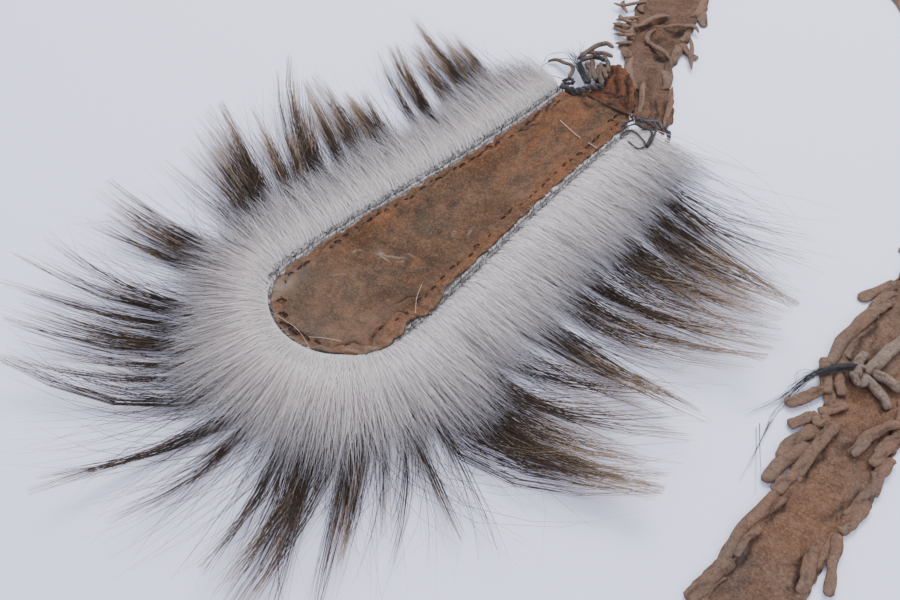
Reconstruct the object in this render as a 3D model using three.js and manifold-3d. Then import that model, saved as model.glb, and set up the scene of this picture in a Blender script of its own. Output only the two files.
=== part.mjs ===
// A roach headdress lying on a flat surface: a buckskin base edged with two cords, a row of white hair over a row
// of dark guard hair, and a long fringed strap that trails from its back end.
// Millimetres, +Z up. The base lies along Y, its back end at y = 0 and its nose towards -Y.
import * as THREE from 'three';
import { mergeVertices } from 'three/addons/utils/BufferGeometryUtils.js';
import Module from 'manifold-3d';

const wasm = await Module();
wasm.setup();

// Leather base
const BASE_LENGTH = 266;
const BACK_WIDTH = 52;
const FRONT_WIDTH = 80;
const NOSE_DEPTH = 36;
const BACK_TAB = 14;
const LEATHER = 2.2;
const RIM_WIDTH = 9;
const RIM_SLOPE = 6;

// Hair rows and the cords that hold them down
const HAIR_BAND = 1.4;
const BAND_WIDTH = 12;
const CORD = 2.2;
const CORD_SPACING = 2.7;
const GUARD_LENGTH = 150;
const WHITE_LENGTH = 66;
const WHITE_DEPTH = 7;
const GUARD_DEPTH = 3.4;
const TUFT_BREADTH = 12;
const TIP_RISE = 18;
const CLEARANCE = 0.3;
const HAIR_GAP = 0.25;
const SLIVER = 0.1;

// Strap, fringe and ties
const STRAP_WIDTH = 42;
const FRINGE_LENGTH = 34;
const FRINGE_WIDTH = 6.5;
const THONG = 4;
const TIE_CORD = 2.6;
const BRISTLE_LENGTH = 40;
const TUFT_DROP = 75;

// Levels that the pieces share, from the surface up
const WHITE_FLOOR = HAIR_BAND + CLEARANCE;
const RIM_FLOOR = WHITE_FLOOR + HAIR_BAND + CLEARANCE;
const CORD_LEVEL = RIM_FLOOR + CORD / 2;
const OVER_CORDS = RIM_FLOOR + CORD + CLEARANCE;
const ON_STRAP = LEATHER + CLEARANCE;

const flat = (x, y) => new THREE.Vector3(x, y, 0);
const lerp = THREE.MathUtils.lerp;
const clamp = THREE.MathUtils.clamp;
const smooth = THREE.MathUtils.smoothstep;
const upright = new THREE.Vector3(0, 0, 1);
const turned = (v, degrees) => v.clone().applyAxisAngle(upright, THREE.MathUtils.degToRad(degrees));
const wobble = (n) => Math.sin(12.9898 * n + 4.1) * Math.cos(7.31 * n);

// A value between the rows of a table that is in order of its first column
function between(table, at, column) {
  const next = table.findIndex((row) => row[0] >= at);
  if (next === 0) return table[0][column];
  if (next < 0) return table[table.length - 1][column];
  const [low, high] = [table[next - 1], table[next]];
  return lerp(low[column], high[column], (at - low[0]) / (high[0] - low[0]));
}

// The edge of the base, from the far back corner round the nose to the near back corner
const CIRCLE = 0.5523;
const farEdge = [
  [flat(-BACK_WIDTH / 2, 0), flat(-BACK_WIDTH / 2, -0.4 * BASE_LENGTH),
    flat(-FRONT_WIDTH / 2, -0.62 * BASE_LENGTH), flat(-FRONT_WIDTH / 2, NOSE_DEPTH - BASE_LENGTH)],
  [flat(-FRONT_WIDTH / 2, NOSE_DEPTH - BASE_LENGTH),
    flat(-FRONT_WIDTH / 2, NOSE_DEPTH * (1 - CIRCLE) - BASE_LENGTH),
    flat(-FRONT_WIDTH / 2 * CIRCLE, -BASE_LENGTH), flat(0, -BASE_LENGTH)],
];
const mirrored = (points) => points.map((p) => flat(-p.x, p.y)).reverse();
const rim = new THREE.CurvePath();
for (const points of [...farEdge, ...farEdge.map(mirrored).reverse()]) {
  rim.add(new THREE.CubicBezierCurve3(...points));
}

// Where a share of the rim lies, and which way is out from it
function rimAt(share) {
  const onRim = clamp(share, 0, 1);
  const ahead = rim.getTangentAt(onRim);
  const out = new THREE.Vector3(ahead.y, -ahead.x, 0).normalize();
  return { share, point: rim.getPointAt(onRim), out };
}
const RIM_STEPS = 240;
const rimSteps = Array.from({ length: RIM_STEPS + 1 }, (_, i) => rimAt(i / RIM_STEPS));

// The nearest place on the rim, with how far outside it a point lies
function nearRim(point) {
  let nearest = null;
  for (const step of rimSteps) {
    const gap = Math.hypot(point.x - step.point.x, point.y - step.point.y);
    if (!nearest || gap < nearest.gap) nearest = { gap, step };
  }
  const { gap, step } = nearest;
  const outside = (point.x - step.point.x) * step.out.x + (point.y - step.point.y) * step.out.y > 0;
  return { share: step.share, reach: outside ? gap : -gap };
}

// A closed solid through rings of points, with a flat fan at each end
function loft(rings) {
  const size = rings[0].length;
  const positions = rings.flat().flatMap((p) => [p.x, p.y, p.z]);
  const faces = [];
  for (let i = 0; i + 1 < rings.length; i += 1) {
    for (let j = 0; j < size; j += 1) {
      const [a, b] = [i * size + j, i * size + ((j + 1) % size)];
      faces.push(a, b, b + size, a, b + size, a + size);
    }
  }
  const last = (rings.length - 1) * size;
  for (let j = 1; j + 1 < size; j += 1) {
    faces.push(0, j + 1, j, last, last + j, last + j + 1);
  }
  return outward(positions, faces);
}

// A sheet over a grid of points on its underside
function sheet(grid, thickness) {
  const rings = grid.map((row) => {
    const top = row.map((p) => new THREE.Vector3(p.x, p.y, p.z + thickness(p)));
    return [...row, ...top.reverse()];
  });
  return gridSolid(rings, grid[0].length);
}

// Rings made of an underside and the same points on top, with square caps at the two ends
function gridSolid(rings, across) {
  const size = rings[0].length;
  const positions = rings.flat().flatMap((p) => [p.x, p.y, p.z]);
  const faces = [];
  for (let i = 0; i + 1 < rings.length; i += 1) {
    for (let j = 0; j < size; j += 1) {
      const [a, b] = [i * size + j, i * size + ((j + 1) % size)];
      faces.push(a, b, b + size, a, b + size, a + size);
    }
  }
  const last = (rings.length - 1) * size;
  for (let j = 0; j + 1 < across; j += 1) {
    const [a, b, c, d] = [j, j + 1, size - 2 - j, size - 1 - j];
    faces.push(a, c, b, a, d, c, last + a, last + b, last + c, last + a, last + c, last + d);
  }
  return outward(positions, faces);
}

function outward(positions, faces) {
  let volume = 0;
  const corner = (i) => new THREE.Vector3().fromArray(positions, 3 * i);
  for (let i = 0; i < faces.length; i += 3) {
    const [a, b, c] = [corner(faces[i]), corner(faces[i + 1]), corner(faces[i + 2])];
    volume += a.dot(b.cross(c));
  }
  const geometry = new THREE.BufferGeometry();
  geometry.setAttribute('position', new THREE.Float32BufferAttribute(positions, 3));
  geometry.setIndex(volume > 0 ? faces : faces.reverse());
  return geometry;
}

// A round tube along a curve
function tube(curve, diameter, steps, sides) {
  const section = new THREE.Shape();
  for (let i = 0; i < sides; i += 1) {
    const turn = (2 * Math.PI * i) / sides;
    const [x, y] = [(diameter / 2) * Math.cos(turn), (diameter / 2) * Math.sin(turn)];
    if (i === 0) section.moveTo(x, y);
    else section.lineTo(x, y);
  }
  return new THREE.ExtrudeGeometry(section, { steps, extrudePath: curve });
}

function curveThrough(points) {
  return new THREE.CatmullRomCurve3(points.map((p) => new THREE.Vector3(...p)), false, 'centripetal');
}

function solid(geometry) {
  const bare = geometry.clone();
  bare.deleteAttribute('normal');
  bare.deleteAttribute('uv');
  const merged = mergeVertices(bare, 1e-4);
  return new wasm.Manifold(new wasm.Mesh({
    numProp: 3,
    vertProperties: new Float32Array(merged.attributes.position.array),
    triVerts: new Uint32Array(merged.index.array),
  }));
}

// One body joined from several, with any small hollow that they close in filled
function fused(geometries) {
  const joined = geometries.map(solid).reduce((sum, next) => sum.add(next));
  const filled = joined.decompose().filter((shell) => shell.volume() > 0).reduce((sum, next) => sum.add(next));
  const mesh = filled.simplify(SLIVER).getMesh();
  const geometry = new THREE.BufferGeometry();
  geometry.setAttribute('position', new THREE.BufferAttribute(new Float32Array(mesh.vertProperties), 3));
  geometry.setIndex(new THREE.BufferAttribute(new Uint32Array(mesh.triVerts), 1));
  geometry.computeVertexNormals();
  return geometry;
}

const group = new THREE.Group();
function add(name, geometry, color, roughness) {
  const material = new THREE.MeshStandardMaterial({ color, roughness, metalness: 0 });
  const mesh = new THREE.Mesh(geometry, material);
  mesh.name = name;
  group.add(mesh);
}

// Base: flat where it lies on the surface, raised along its edge over the two hair bands. The near front edge
// has puckered out over the cords.
// overhang: [share of the rim, bulge as a share of FRONT_WIDTH, share lifted clear]
const overhang = [
  [0.515, 0, 0], [0.54, 0, 1], [0.555, 0, 1], [0.575, 0.045, 1], [0.6, 0.055, 1], [0.618, 0.045, 1],
  [0.63, 0, 1], [0.645, 0.055, 1], [0.667, 0.06, 1], [0.685, 0, 1], [0.705, 0, 1], [0.73, 0, 0],
];

function halfWidth(y) {
  if (y >= 0) return (BACK_WIDTH / 2) * lerp(1, 0.74, y / BACK_TAB);
  const next = rimSteps.findIndex((step) => step.point.y <= y);
  const [before, after] = [rimSteps[next - 1].point, rimSteps[next].point];
  return -lerp(before.x, after.x, (y - before.y) / (after.y - before.y));
}

function baseFloor(point) {
  const behind = { share: 0, reach: Math.abs(point.x) - BACK_WIDTH / 2 };
  const { share, reach } = point.y < 0 ? nearRim(point) : behind;
  const raised = 1 - smooth(-reach, RIM_WIDTH, RIM_WIDTH + RIM_SLOPE);
  const lifted = (1 - smooth(-reach, RIM_WIDTH / 6, RIM_WIDTH / 2)) * between(overhang, share, 2);
  return lerp(raised * RIM_FLOOR, OVER_CORDS, lifted) * (1 - smooth(point.y, 1, 0.7 * BACK_TAB));
}

// The worn face of the hide is a little uneven
const COCKLE_LENGTH = 69;
const COCKLE_BREADTH = 57;
const COCKLE_SHARE = 0.12;
function hideThickness(point) {
  const along = (2 * Math.PI * point.y) / COCKLE_LENGTH;
  const across = (2 * Math.PI * point.x) / COCKLE_BREADTH;
  return LEATHER * (1 + COCKLE_SHARE * Math.sin(along) * Math.cos(across + along / 2));
}

const BASE_STATIONS = 22;
const NOSE_STOP = 0.9985;
function baseLeather() {
  const insets = [0, RIM_WIDTH / 6, RIM_WIDTH / 2, RIM_WIDTH, RIM_WIDTH + RIM_SLOPE];
  const rows = [];
  const alongs = [BACK_TAB, 0.7 * BACK_TAB, 0.3 * BACK_TAB, 1];
  for (let i = 1; i <= BASE_STATIONS; i += 1) {
    const run = i / BASE_STATIONS;
    alongs.push(-BASE_LENGTH * NOSE_STOP * (1.6 * run - 0.6 * run ** 2.2));
  }
  for (const along of alongs) {
    const half = halfWidth(along);
    const pull = Math.min(1, half / (1.5 * (RIM_WIDTH + RIM_SLOPE)));
    const lanes = insets.map((inset) => half - inset * pull);
    const across = [...lanes.map((x) => -x), -lanes[4] / 2, 0, lanes[4] / 2, ...lanes.reverse()];
    rows.push(across.map((x, lane) => {
      const point = flat(x, along);
      point.z = baseFloor(point);
      const bulge = lane === across.length - 1 && along < 0;
      return bulge ? point.setX(x + between(overhang, nearRim(point).share, 1) * FRONT_WIDTH) : point;
    }));
  }
  return sheet(rows, hideThickness);
}
add('base_leather', baseLeather(), 0x8a5f45, 0.9);

// Two cords lie side by side on the white band, just outside the leather
const CORD_POINTS = 60;
const CORD_STEPS = 50;
function rimCord(offset) {
  const points = [];
  for (let i = 0; i <= CORD_POINTS; i += 1) {
    const { point, out } = rimAt(i / CORD_POINTS);
    points.push(point.clone().addScaledVector(out, offset).setZ(CORD_LEVEL));
  }
  return tube(new THREE.CatmullRomCurve3(points), CORD, CORD_STEPS, 6);
}
const INNER_CORD = 2 * CLEARANCE + CORD / 2;
add('rim_cord_inner', rimCord(INNER_CORD), 0xb9b2a8, 0.85);
add('rim_cord_outer', rimCord(INNER_CORD + CORD_SPACING), 0xa9a39b, 0.85);

// Both hair rows follow one surface that parts them. It rises gently under the white row, and faster past it.
// tipRise: [share of the rim, height of the tips as a share of TIP_RISE]
const tipRise = [[0, 1.3], [0.35, 1.3], [0.5, 1.1], [0.58, 0.8], [0.75, 0.9], [1, 1]];

function partingLevel(point) {
  const { share, reach } = nearRim(point);
  const out = Math.max(0, reach - BAND_WIDTH / 2);
  const climb = 0.45 * out + 1.6 * Math.max(0, out - 1.3 * WHITE_LENGTH);
  return HAIR_BAND + CLEARANCE / 2 + between(tipRise, share, 1) * TIP_RISE * climb / GUARD_LENGTH;
}

// The thin band that the dark row is tied to, from one end of the rim to the other
const BAND_STATIONS = 36;
function hairBand() {
  const rows = [];
  for (let i = 0; i <= BAND_STATIONS; i += 1) {
    const { point, out } = rimAt(i / BAND_STATIONS);
    const edges = [-BAND_WIDTH / 2, BAND_WIDTH / 2];
    rows.push(edges.map((offset) => point.clone().addScaledVector(out, offset)));
  }
  return sheet(rows, () => HAIR_BAND);
}

// The plan of one lock: a curve from the band to the tip, which leans by sweep and bows by a share of its reach
function lockPlan({ share, reach, sweep, bow }) {
  const { point, out } = rimAt(share);
  const root = point.clone().addScaledVector(out, BAND_WIDTH / 4);
  const chord = turned(out, sweep).multiplyScalar(reach);
  const middle = root.clone().addScaledVector(chord, 0.5).addScaledVector(turned(chord, 90), 2 * bow);
  return new THREE.QuadraticBezierCurve3(root, middle, root.clone().add(chord));
}

// A lock is a flattened four-sided taper. profile: [share of its length, breadth, depth]
function lock(plan, profile, place) {
  const rings = profile.map(([run, breadth, depth]) => {
    const centre = plan.getPoint(run);
    const side = turned(plan.getTangent(run), 90);
    const corner = (offset, level) => {
      const point = centre.clone().addScaledVector(side, offset * breadth / 2);
      return point.setZ(place(point, depth, level));
    };
    return [corner(-1, 0.2), corner(0, 1), corner(1, 0.2), corner(0, 0)];
  });
  return loft(rings);
}

// White row: one body from its band out, parted into locks. A lock has its crest in the middle and a valley beside
// it, so the row is ridged and its outer edge is a line of points.
// whiteLie: [share of the rim, sweep, reach as a share of WHITE_LENGTH]
const whiteLie = [
  [0, -6, 0.74], [0.25, -8, 0.76], [0.38, -10, 0.82], [0.46, -6, 0.96], [0.52, 4, 1.06],
  [0.58, -6, 1.14], [0.65, -10, 1.06], [0.78, -6, 0.95], [1, -2, 0.9],
];
const WHITE_LOCKS = 46;
// whiteBuild: [share of the reach, depth at a crest, depth at a valley, both as shares of WHITE_DEPTH]
const whiteBuild = [[0.1, 0.2, 0.2], [0.3, 1, 0.75], [0.62, 0.9, 0.45], [1, 0.2, 0.15]];

function whiteHairRow() {
  const rings = [];
  for (let lane = 0; lane <= 2 * WHITE_LOCKS; lane += 1) {
    const share = lane / (2 * WHITE_LOCKS);
    const crest = lane % 2;
    const length = crest ? 1 + 0.08 * wobble(lane) : 0.76 + 0.06 * wobble(lane);
    const reach = WHITE_LENGTH * length * between(whiteLie, share, 2);
    const plan = lockPlan({ share, reach, sweep: between(whiteLie, share, 1), bow: 0 });
    const { point, out } = rimAt(share);
    const inner = point.clone().addScaledVector(out, -BAND_WIDTH / 2).setZ(WHITE_FLOOR);
    const under = [inner, ...whiteBuild.map(([run]) => {
      const place = plan.getPoint(run);
      return place.setZ(partingLevel(place) + CLEARANCE / 2 + HAIR_GAP);
    })];
    const depths = [HAIR_BAND, ...whiteBuild.map((row) => row[crest ? 1 : 2] * WHITE_DEPTH)];
    const top = under.map((p, i) => p.clone().setZ(p.z + depths[i]));
    rings.push([...under, ...top.reverse()]);
  }
  return gridSolid(rings, 1 + whiteBuild.length);
}
add('white_hair_row', whiteHairRow(), 0xd9d6d0, 0.7);

// Dark row: tufts of guard hair in the order that they stand round the rim.
// tufts: [share of the rim, reach as a share of GUARD_LENGTH, sweep, bow, breadth as a share of TUFT_BREADTH]
const tufts = [
  [0.085, 0.58, -20, -0.03, 1], [0.125, 0.73, -19, -0.07, 1.5], [0.16, 0.68, -17, 0.03, 1.5],
  [0.225, 0.58, -10, -0.03, 0.6], [0.275, 0.63, -23, -0.04, 1.1], [0.3, 0.75, -21, -0.04, 0.9],
  [0.31, 0.79, -20, 0.08, 1], [0.355, 0.68, -23, 0.01, 0.8], [0.395, 0.76, -24, -0.05, 1.2],
  [0.41, 0.76, -34, -0.05, 1.5], [0.44, 0.76, -56, -0.08, 0.7], [0.42, 0.64, -9, 0.02, 0.6],
  [0.445, 0.77, -29, -0.03, 0.9], [0.47, 0.89, -41, 0.01, 0.7], [0.495, 0.91, -49, 0.01, 1],
  [0.525, 0.96, -71, 0.05, 0.7], [0.545, 1.06, -82, 0.04, 0.6], [0.54, 1, -71, 0.04, 0.9],
  [0.535, 0.98, -66, 0.11, 0.6], [0.55, 0.98, -51, 0.02, 0.7], [0.515, 0.92, 0, 0.08, 0.7],
  [0.53, 0.87, 3, 0.05, 0.6], [0.51, 1.01, 29, 0.1, 1.5], [0.535, 0.96, 11, 0.05, 1.1],
  [0.585, 1, -48, 0.02, 0.9], [0.585, 0.94, -35, 0.01, 0.6], [0.585, 0.84, -29, 0.01, 0.9],
  [0.595, 0.8, -36, 0.03, 0.6], [0.6, 0.79, -25, 0.01, 0.6], [0.618, 1.03, 2, -0.18, 1.3],
  [0.63, 1, 1, -0.09, 1.5], [0.69, 1, -11, -0.18, 0.8], [0.645, 0.95, 12, -0.08, 0.9],
  [0.706, 0.94, -3, -0.01, 1.9], [0.815, 0.95, -9, -0.15, 0.7], [0.805, 0.99, -1, -0.08, 1.1],
  [0.862, 0.97, -9, -0.09, 1.5], [0.933, 1.04, -16, -0.12, 0.7], [0.92, 1.01, -11, -0.05, 1.3],
  [0.932, 0.99, -13, 0, 0.9], [0.95, 0.92, -12, 0.02, 0.8], [0.99, 0.94, -6, -0.09, 0.4],
];

// tuftTaper: [share of the reach, breadth as a share of the tuft's, depth as a share of GUARD_DEPTH]
const tuftTaper = [[0, 0.5, 0.3], [0.25, 0.8, 0.6], [0.5, 1, 1], [0.78, 0.85, 0.8], [1, 0.12, 0.2]];

function darkHairRow() {
  const under = (point, depth, level) => {
    const top = partingLevel(point) - CLEARANCE / 2 - HAIR_GAP;
    return Math.max(0, top - depth) + level * Math.min(depth, top);
  };
  const locks = tufts.map(([share, reach, sweep, bow, breadth]) => {
    const plan = lockPlan({ share, reach: reach * GUARD_LENGTH, sweep, bow });
    const profile = tuftTaper.map(([run, broad, depth]) => (
      [run, broad * breadth * TUFT_BREADTH, depth * GUARD_DEPTH]));
    return lock(plan, profile, under);
  });
  return fused([hairBand(), ...locks]);
}
add('dark_hair_row', darkHairRow(), 0x3a2c22, 0.6);

// Strap: it trails from the back end and turns back beside the base.
// tailPoints: chosen points of its middle line on the surface, as shares of BASE_LENGTH
const tailPoints = [
  [0.15, 0.051], [0.069, 0.14], [-0.019, 0.248], [-0.079, 0.368], [-0.128, 0.489], [-0.169, 0.62],
  [-0.15, 0.808], [-0.03, 0.962], [0.188, 1.053], [0.47, 1.008], [0.707, 0.835], [0.842, 0.583],
  [0.895, 0.301], [0.902, 0.038], [0.906, -0.15], [0.925, -0.263], [0.966, -0.376], [0.985, -0.489],
  [0.992, -0.62], [1.004, -0.752], [1.023, -0.883], [1.041, -0.985],
];
const tailRoute = curveThrough(tailPoints.map(([x, y]) => [x * BASE_LENGTH, y * BASE_LENGTH, 0]));
tailRoute.arcLengthDivisions = 400;
const TAIL_LENGTH = tailRoute.getLength();

// strapCut: [share of the route, width as a share of STRAP_WIDTH]
const strapCut = [
  [0, 0.6], [0.03, 0.66], [0.065, 0.78], [0.09, 0.95], [0.13, 1.1], [0.3, 1], [0.6, 1], [0.76, 1.08],
  [0.804, 1], [0.836, 0.95], [0.876, 0.88], [0.901, 0.86], [0.932, 1], [0.973, 1.05], [1, 0.95],
];

function tailAt(share) {
  const ahead = tailRoute.getTangentAt(share);
  return { point: tailRoute.getPointAt(share), ahead, side: new THREE.Vector3(ahead.y, -ahead.x, 0) };
}

const TAIL_STATIONS = 46;
function tailBody() {
  const rows = [];
  for (let i = 0; i <= TAIL_STATIONS; i += 1) {
    const share = i / TAIL_STATIONS;
    const { point, side } = tailAt(share);
    const half = (STRAP_WIDTH / 2) * between(strapCut, share, 1);
    rows.push([-1, -0.6, 0, 0.6, 1].map((lane) => {
      const ruffle = Math.abs(lane) === 1 ? 0.045 * STRAP_WIDTH * Math.sin(2.7 * i + 2 * lane) : 0;
      const loose = Math.abs(lane) === 1 ? smooth(share, 0.06, 0.12) : 0;
      const curl = 0.5 * LEATHER * Math.max(0, Math.sin(0.9 * i + 3.1 * lane)) * loose;
      return point.clone().addScaledVector(side, half * lane + Math.sign(lane) * ruffle).setZ(curl);
    }));
  }
  return sheet(rows, () => LEATHER);
}

// Fringe: strips cut at the strap's edges, rolled by wear, that lie along it.
// seenFringe: [share of the route, place across the half width, splay, length as a share of FRINGE_LENGTH, heading]
const seenFringe = [
  [0.065, -0.9, 12, 0.5, 1], [0.071, -0.85, 20, 0.6, 1], [0.078, -0.95, 30, 0.8, 1], [0.089, -0.9, 15, 0.9, 1],
  [0.096, 0.9, 40, 0.7, -1], [0.107, 0.9, 18, 0.9, -1], [0.112, -0.85, 50, 0.7, -1], [0.116, 0.95, 8, 1.35, -1],
  [0.123, -0.9, 55, 0.6, 1], [0.13, 0.95, 12, 0.9, -1], [0.14, -0.9, 35, 0.8, 1], [0.148, 0.9, 20, 0.8, -1],
  [0.806, 0.65, -2, 0.5, 1], [0.815, 0.85, 20, 0.8, 1], [0.824, 0.9, 22, 0.8, 1], [0.833, -0.45, -22, 0.75, 1],
  [0.836, 0.9, 16, 1.15, 1], [0.839, -0.92, 6, 0.65, 1], [0.84, 0.62, 8, 1.3, 1], [0.856, 0.88, 12, 1.3, 1],
  [0.857, -0.92, 6, 0.6, 1], [0.877, -0.9, 10, 0.55, 1], [0.903, -0.86, 20, 0.9, 1], [0.916, 0.85, 14, 0.9, 1],
  [0.918, -0.7, 12, 0.75, 1], [0.951, 0.9, 10, 0.8, 1], [0.955, -0.9, 12, 0.8, 1],
];
const FRINGE_FROM = 0.165;
const FRINGE_TO = 0.79;
const FRINGE_PITCH = 52;

// The stretch between the two that show carries the same cut, one strip on each side at every pitch
function plainFringe() {
  const count = Math.round(((FRINGE_TO - FRINGE_FROM) * TAIL_LENGTH) / FRINGE_PITCH);
  return Array.from({ length: 2 * count }, (_, i) => {
    const share = lerp(FRINGE_FROM, FRINGE_TO, (i + 0.5) / (2 * count));
    return [share, i % 2 ? 0.9 : -0.9, 26 + 14 * wobble(i), 0.8 + 0.2 * wobble(i + 0.3), 1];
  });
}

function strip([share, place, splay, length, heading]) {
  const { point, ahead, side } = tailAt(share);
  const half = (STRAP_WIDTH / 2) * between(strapCut, share, 1);
  const root = point.clone().addScaledVector(side, half * place);
  const away = turned(ahead.clone().multiplyScalar(heading), -splay * Math.sign(place) * heading);
  const across = turned(away, 90);
  const onTop = Math.abs(place) < 0.7;
  return loft([[0, 0.7], [0.3, 1], [0.8, 0.95], [1, 0.55]].map(([run, breadth]) => {
    const centre = root.clone().addScaledVector(away, run * length * FRINGE_LENGTH);
    const floor = onTop ? 0.8 * LEATHER * smooth(run, 0, 0.25) : 0.5 * CLEARANCE;
    const height = run === 0 ? 0.7 * LEATHER : 0.95 * LEATHER + 2 * CLEARANCE;
    const corner = (offset, level) => centre.clone()
      .addScaledVector(across, offset * breadth * FRINGE_WIDTH / 2).setZ(floor + level * height);
    return [corner(-1, 0.4), corner(0, 1), corner(1, 0.4), corner(0, 0)];
  }));
}
add('tail_strap', fused([tailBody(), ...[...seenFringe, ...plainFringe()].map(strip)]), 0x8b6a55, 0.95);

// The gathered flap that joins the strap to the base: from the back end of the tab up over the strap's edge.
// flapRows: [place across as a share of the tab's half width, place along as a share of FLAP_LENGTH]
const FLAP_LENGTH = 0.72 * STRAP_WIDTH;
const flapRows = [
  [[-0.7, 0.02], [-0.1, 0.02], [0.45, 0.02], [0.95, 0.02]],
  [[-0.95, 0.32], [-0.3, 0.3], [0.3, 0.26], [0.75, 0.22]],
  [[-1.25, 0.7], [-0.6, 0.66], [-0.1, 0.6], [0.35, 0.55]],
  [[-1.5, 1], [-1, 0.98], [-0.5, 0.94], [-0.15, 0.9]],
];

function rootFlap() {
  const tabHalf = halfWidth(BACK_TAB);
  const rows = flapRows.map((row) => row.map(([across, along]) => {
    const point = flat(across * tabHalf, BACK_TAB + CLEARANCE + along * FLAP_LENGTH);
    return point.setZ(overTail(point));
  }));
  return sheet(rows, () => LEATHER);
}

// How high a thing lies at a point: on the surface, or on the strap with room to rise to it
function overTail(point) {
  let inside = -Infinity;
  for (let i = 0; i <= 60; i += 1) {
    const share = 0.2 * (i / 60);
    const { point: centre } = tailAt(share);
    const half = (STRAP_WIDTH / 2) * between(strapCut, share, 1);
    inside = Math.max(inside, half - Math.hypot(point.x - centre.x, point.y - centre.y));
  }
  return (LEATHER + 1.5 * CLEARANCE) * smooth(inside, -10, -5);
}
add('strap_root_flap', rootFlap(), 0x8a4f33, 0.95);

// Ties: tubes through chosen points, fused to a knot. Points are [x, y, z] from the corner or place they sit at.
function tie(at, knot, cords) {
  const [centre, size] = knot;
  const ball = new THREE.SphereGeometry(1, 7, 5).scale(...size).translate(...at(centre).toArray());
  const runs = cords.map(([diameter, points]) => {
    const route = curveThrough(points.map((p) => at(p).toArray()));
    return tube(route, diameter, 3 * (points.length - 1), 4 + Math.round(diameter / THONG));
  });
  return [ball, ...runs];
}
const corner = (sign) => ([x, y, z]) => new THREE.Vector3(sign * BACK_WIDTH / 2 + x, y, z + RIM_FLOOR);

// Far back corner: a knot with a hooked thong, two pale thongs, a cord along the back edge, two strips beyond the
// flap and a tuft of bristles
const farCorner = corner(-1);
const farTies = tie(farCorner, [[1, 7, 3.6], [6, 5, 3]], [
  [THONG * 0.75, [[1, 7, 3.6], [-10, 15, 2.6], [-20, 23, 0.6], [-27, 17, -1.6]]],
  [THONG, [[1, 9, 3.6], [-5, 22, 3], [-10, 34, 2.2], [-17, 44, 2.2]]],
  [THONG, [[-2, 8, 3.6], [-10, 20, 3.4], [-19, 33, 2.4], [-27, 41, 0.2]]],
  [THONG, [[-8, 2, 3.4], [1, 6, 4], [8, 13, 4.4], [14, 19, 3.6]]],
  [THONG, [[-5, 22, 3], [-6, 34, 3], [-9, 46, 2], [-16, 54, 0.4]]],
]);
// bristleTaper: [share of BRISTLE_LENGTH, breadth as a share of it]
const bristleTaper = [[0, 0.12], [0.3, 0.2], [0.7, 0.22], [1, 0.06]];
const bristleHeading = new THREE.Vector3(-0.7, 0.7, 0.16);
const bristles = bristleTaper.map(([run, breadth]) => {
  const centre = farCorner([1, 8, 4.6]).addScaledVector(bristleHeading, run * BRISTLE_LENGTH);
  const half = breadth * BRISTLE_LENGTH / 2;
  const around = [[-1, 0], [0, 0.5], [1, 0], [0, -0.5]];
  return around.map(([across, up]) => centre.clone()
    .addScaledVector(new THREE.Vector3(0.7 * across, 0.7 * across, up), half));
});
add('far_corner_thongs', fused([...farTies, loft(bristles)]), 0x4a4440, 0.8);

// Near back corner: dark cords wound in an arc, with two thick cut ends
const nearCorner = corner(1);
const nearTies = tie(nearCorner, [[3, 6, 4], [5, 4, 2.6]], [
  [TIE_CORD, [[3, 6, 4], [11, 11, 3.2], [20, 10, 1.8], [28, 3, 0.4]]],
  [TIE_CORD, [[3, 6, 4.6], [12, 7, 5.4], [20, 2, 7.6], [22, -6, 8.1], [15, -11, 8.1], [7, -9, 7.9]]],
  [TIE_CORD * 0.8, [[1, 5, 4], [6, -3, 7.8], [13, -5, 8.1], [18, 1, 7.8], [14, 8, 5]]],
]);
add('near_corner_cords', fused(nearTies), 0x46454a, 0.8);

// On the strap's far stretch: a knotted pale thong with two free ends, over a tuft of dark hair
const KNOT_SHARE = 0.802;
function onTail([aside, ahead, level]) {
  const place = tailAt(KNOT_SHARE);
  return place.point.clone().addScaledVector(place.side, aside).addScaledVector(place.ahead, ahead)
    .setZ(ON_STRAP + level);
}
const TOP_THONG = THONG * 1.5;
const knotThong = tie(onTail, [[5, -1, 4.4], [7, 6, 3.4]], [
  [TOP_THONG, [[-1, -26, 3.1], [1, -14, 3.1], [4, -2, 4.4]]],
  [THONG, [[3, -1, 4.4], [-4, 5, 3.2], [-8, 11, 2.2], [-10.5, 19.5, 2.2]]],
  [THONG, [[2, -2, 5], [-6, -2, 4.2], [-12, -1.5, 2.6], [-17, -2.5, 2.4]]],
]);
add('strap_knot_thong', fused(knotThong), 0xa08f80, 0.9);

// strapTuft: [places beside and along the strap, as shares of TUFT_DROP, level, breadth as a share of TUFT_BREADTH]
const strapTuft = [
  [0.2, 0.03, 1.3, 0.3], [0.28, 0.05, 2.2, 0.5], [0.4, 0.19, 1.2, 0.6], [0.5, 0.4, -0.2, 0.55],
  [0.66, 0.77, -1.4, 0.1],
];
const tuftRings = strapTuft.map(([aside, ahead, level, breadth]) => {
  const centre = onTail([aside * TUFT_DROP, ahead * TUFT_DROP, level]);
  const { side } = tailAt(KNOT_SHARE);
  const half = breadth * TUFT_BREADTH / 2;
  const depth = new THREE.Vector3(0, 0, Math.min(0.35 * half + 0.4, 1.2));
  return [centre.clone().addScaledVector(side, -half), centre.clone().add(depth),
    centre.clone().addScaledVector(side, half), centre.clone().sub(depth)];
});
add('strap_hair_tuft', loft(tuftRings), 0x1d1a19, 0.5);

group.updateMatrixWorld(true);
const reach = new THREE.Box3().setFromObject(group);
const middle = reach.getCenter(new THREE.Vector3());
group.position.set(-middle.x, -middle.y, -reach.min.z);

export default group;
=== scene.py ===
# A roach headdress on a pale surface: worn buckskin base, corded edge, white and dark hair, fringed strap.
import math

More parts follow.
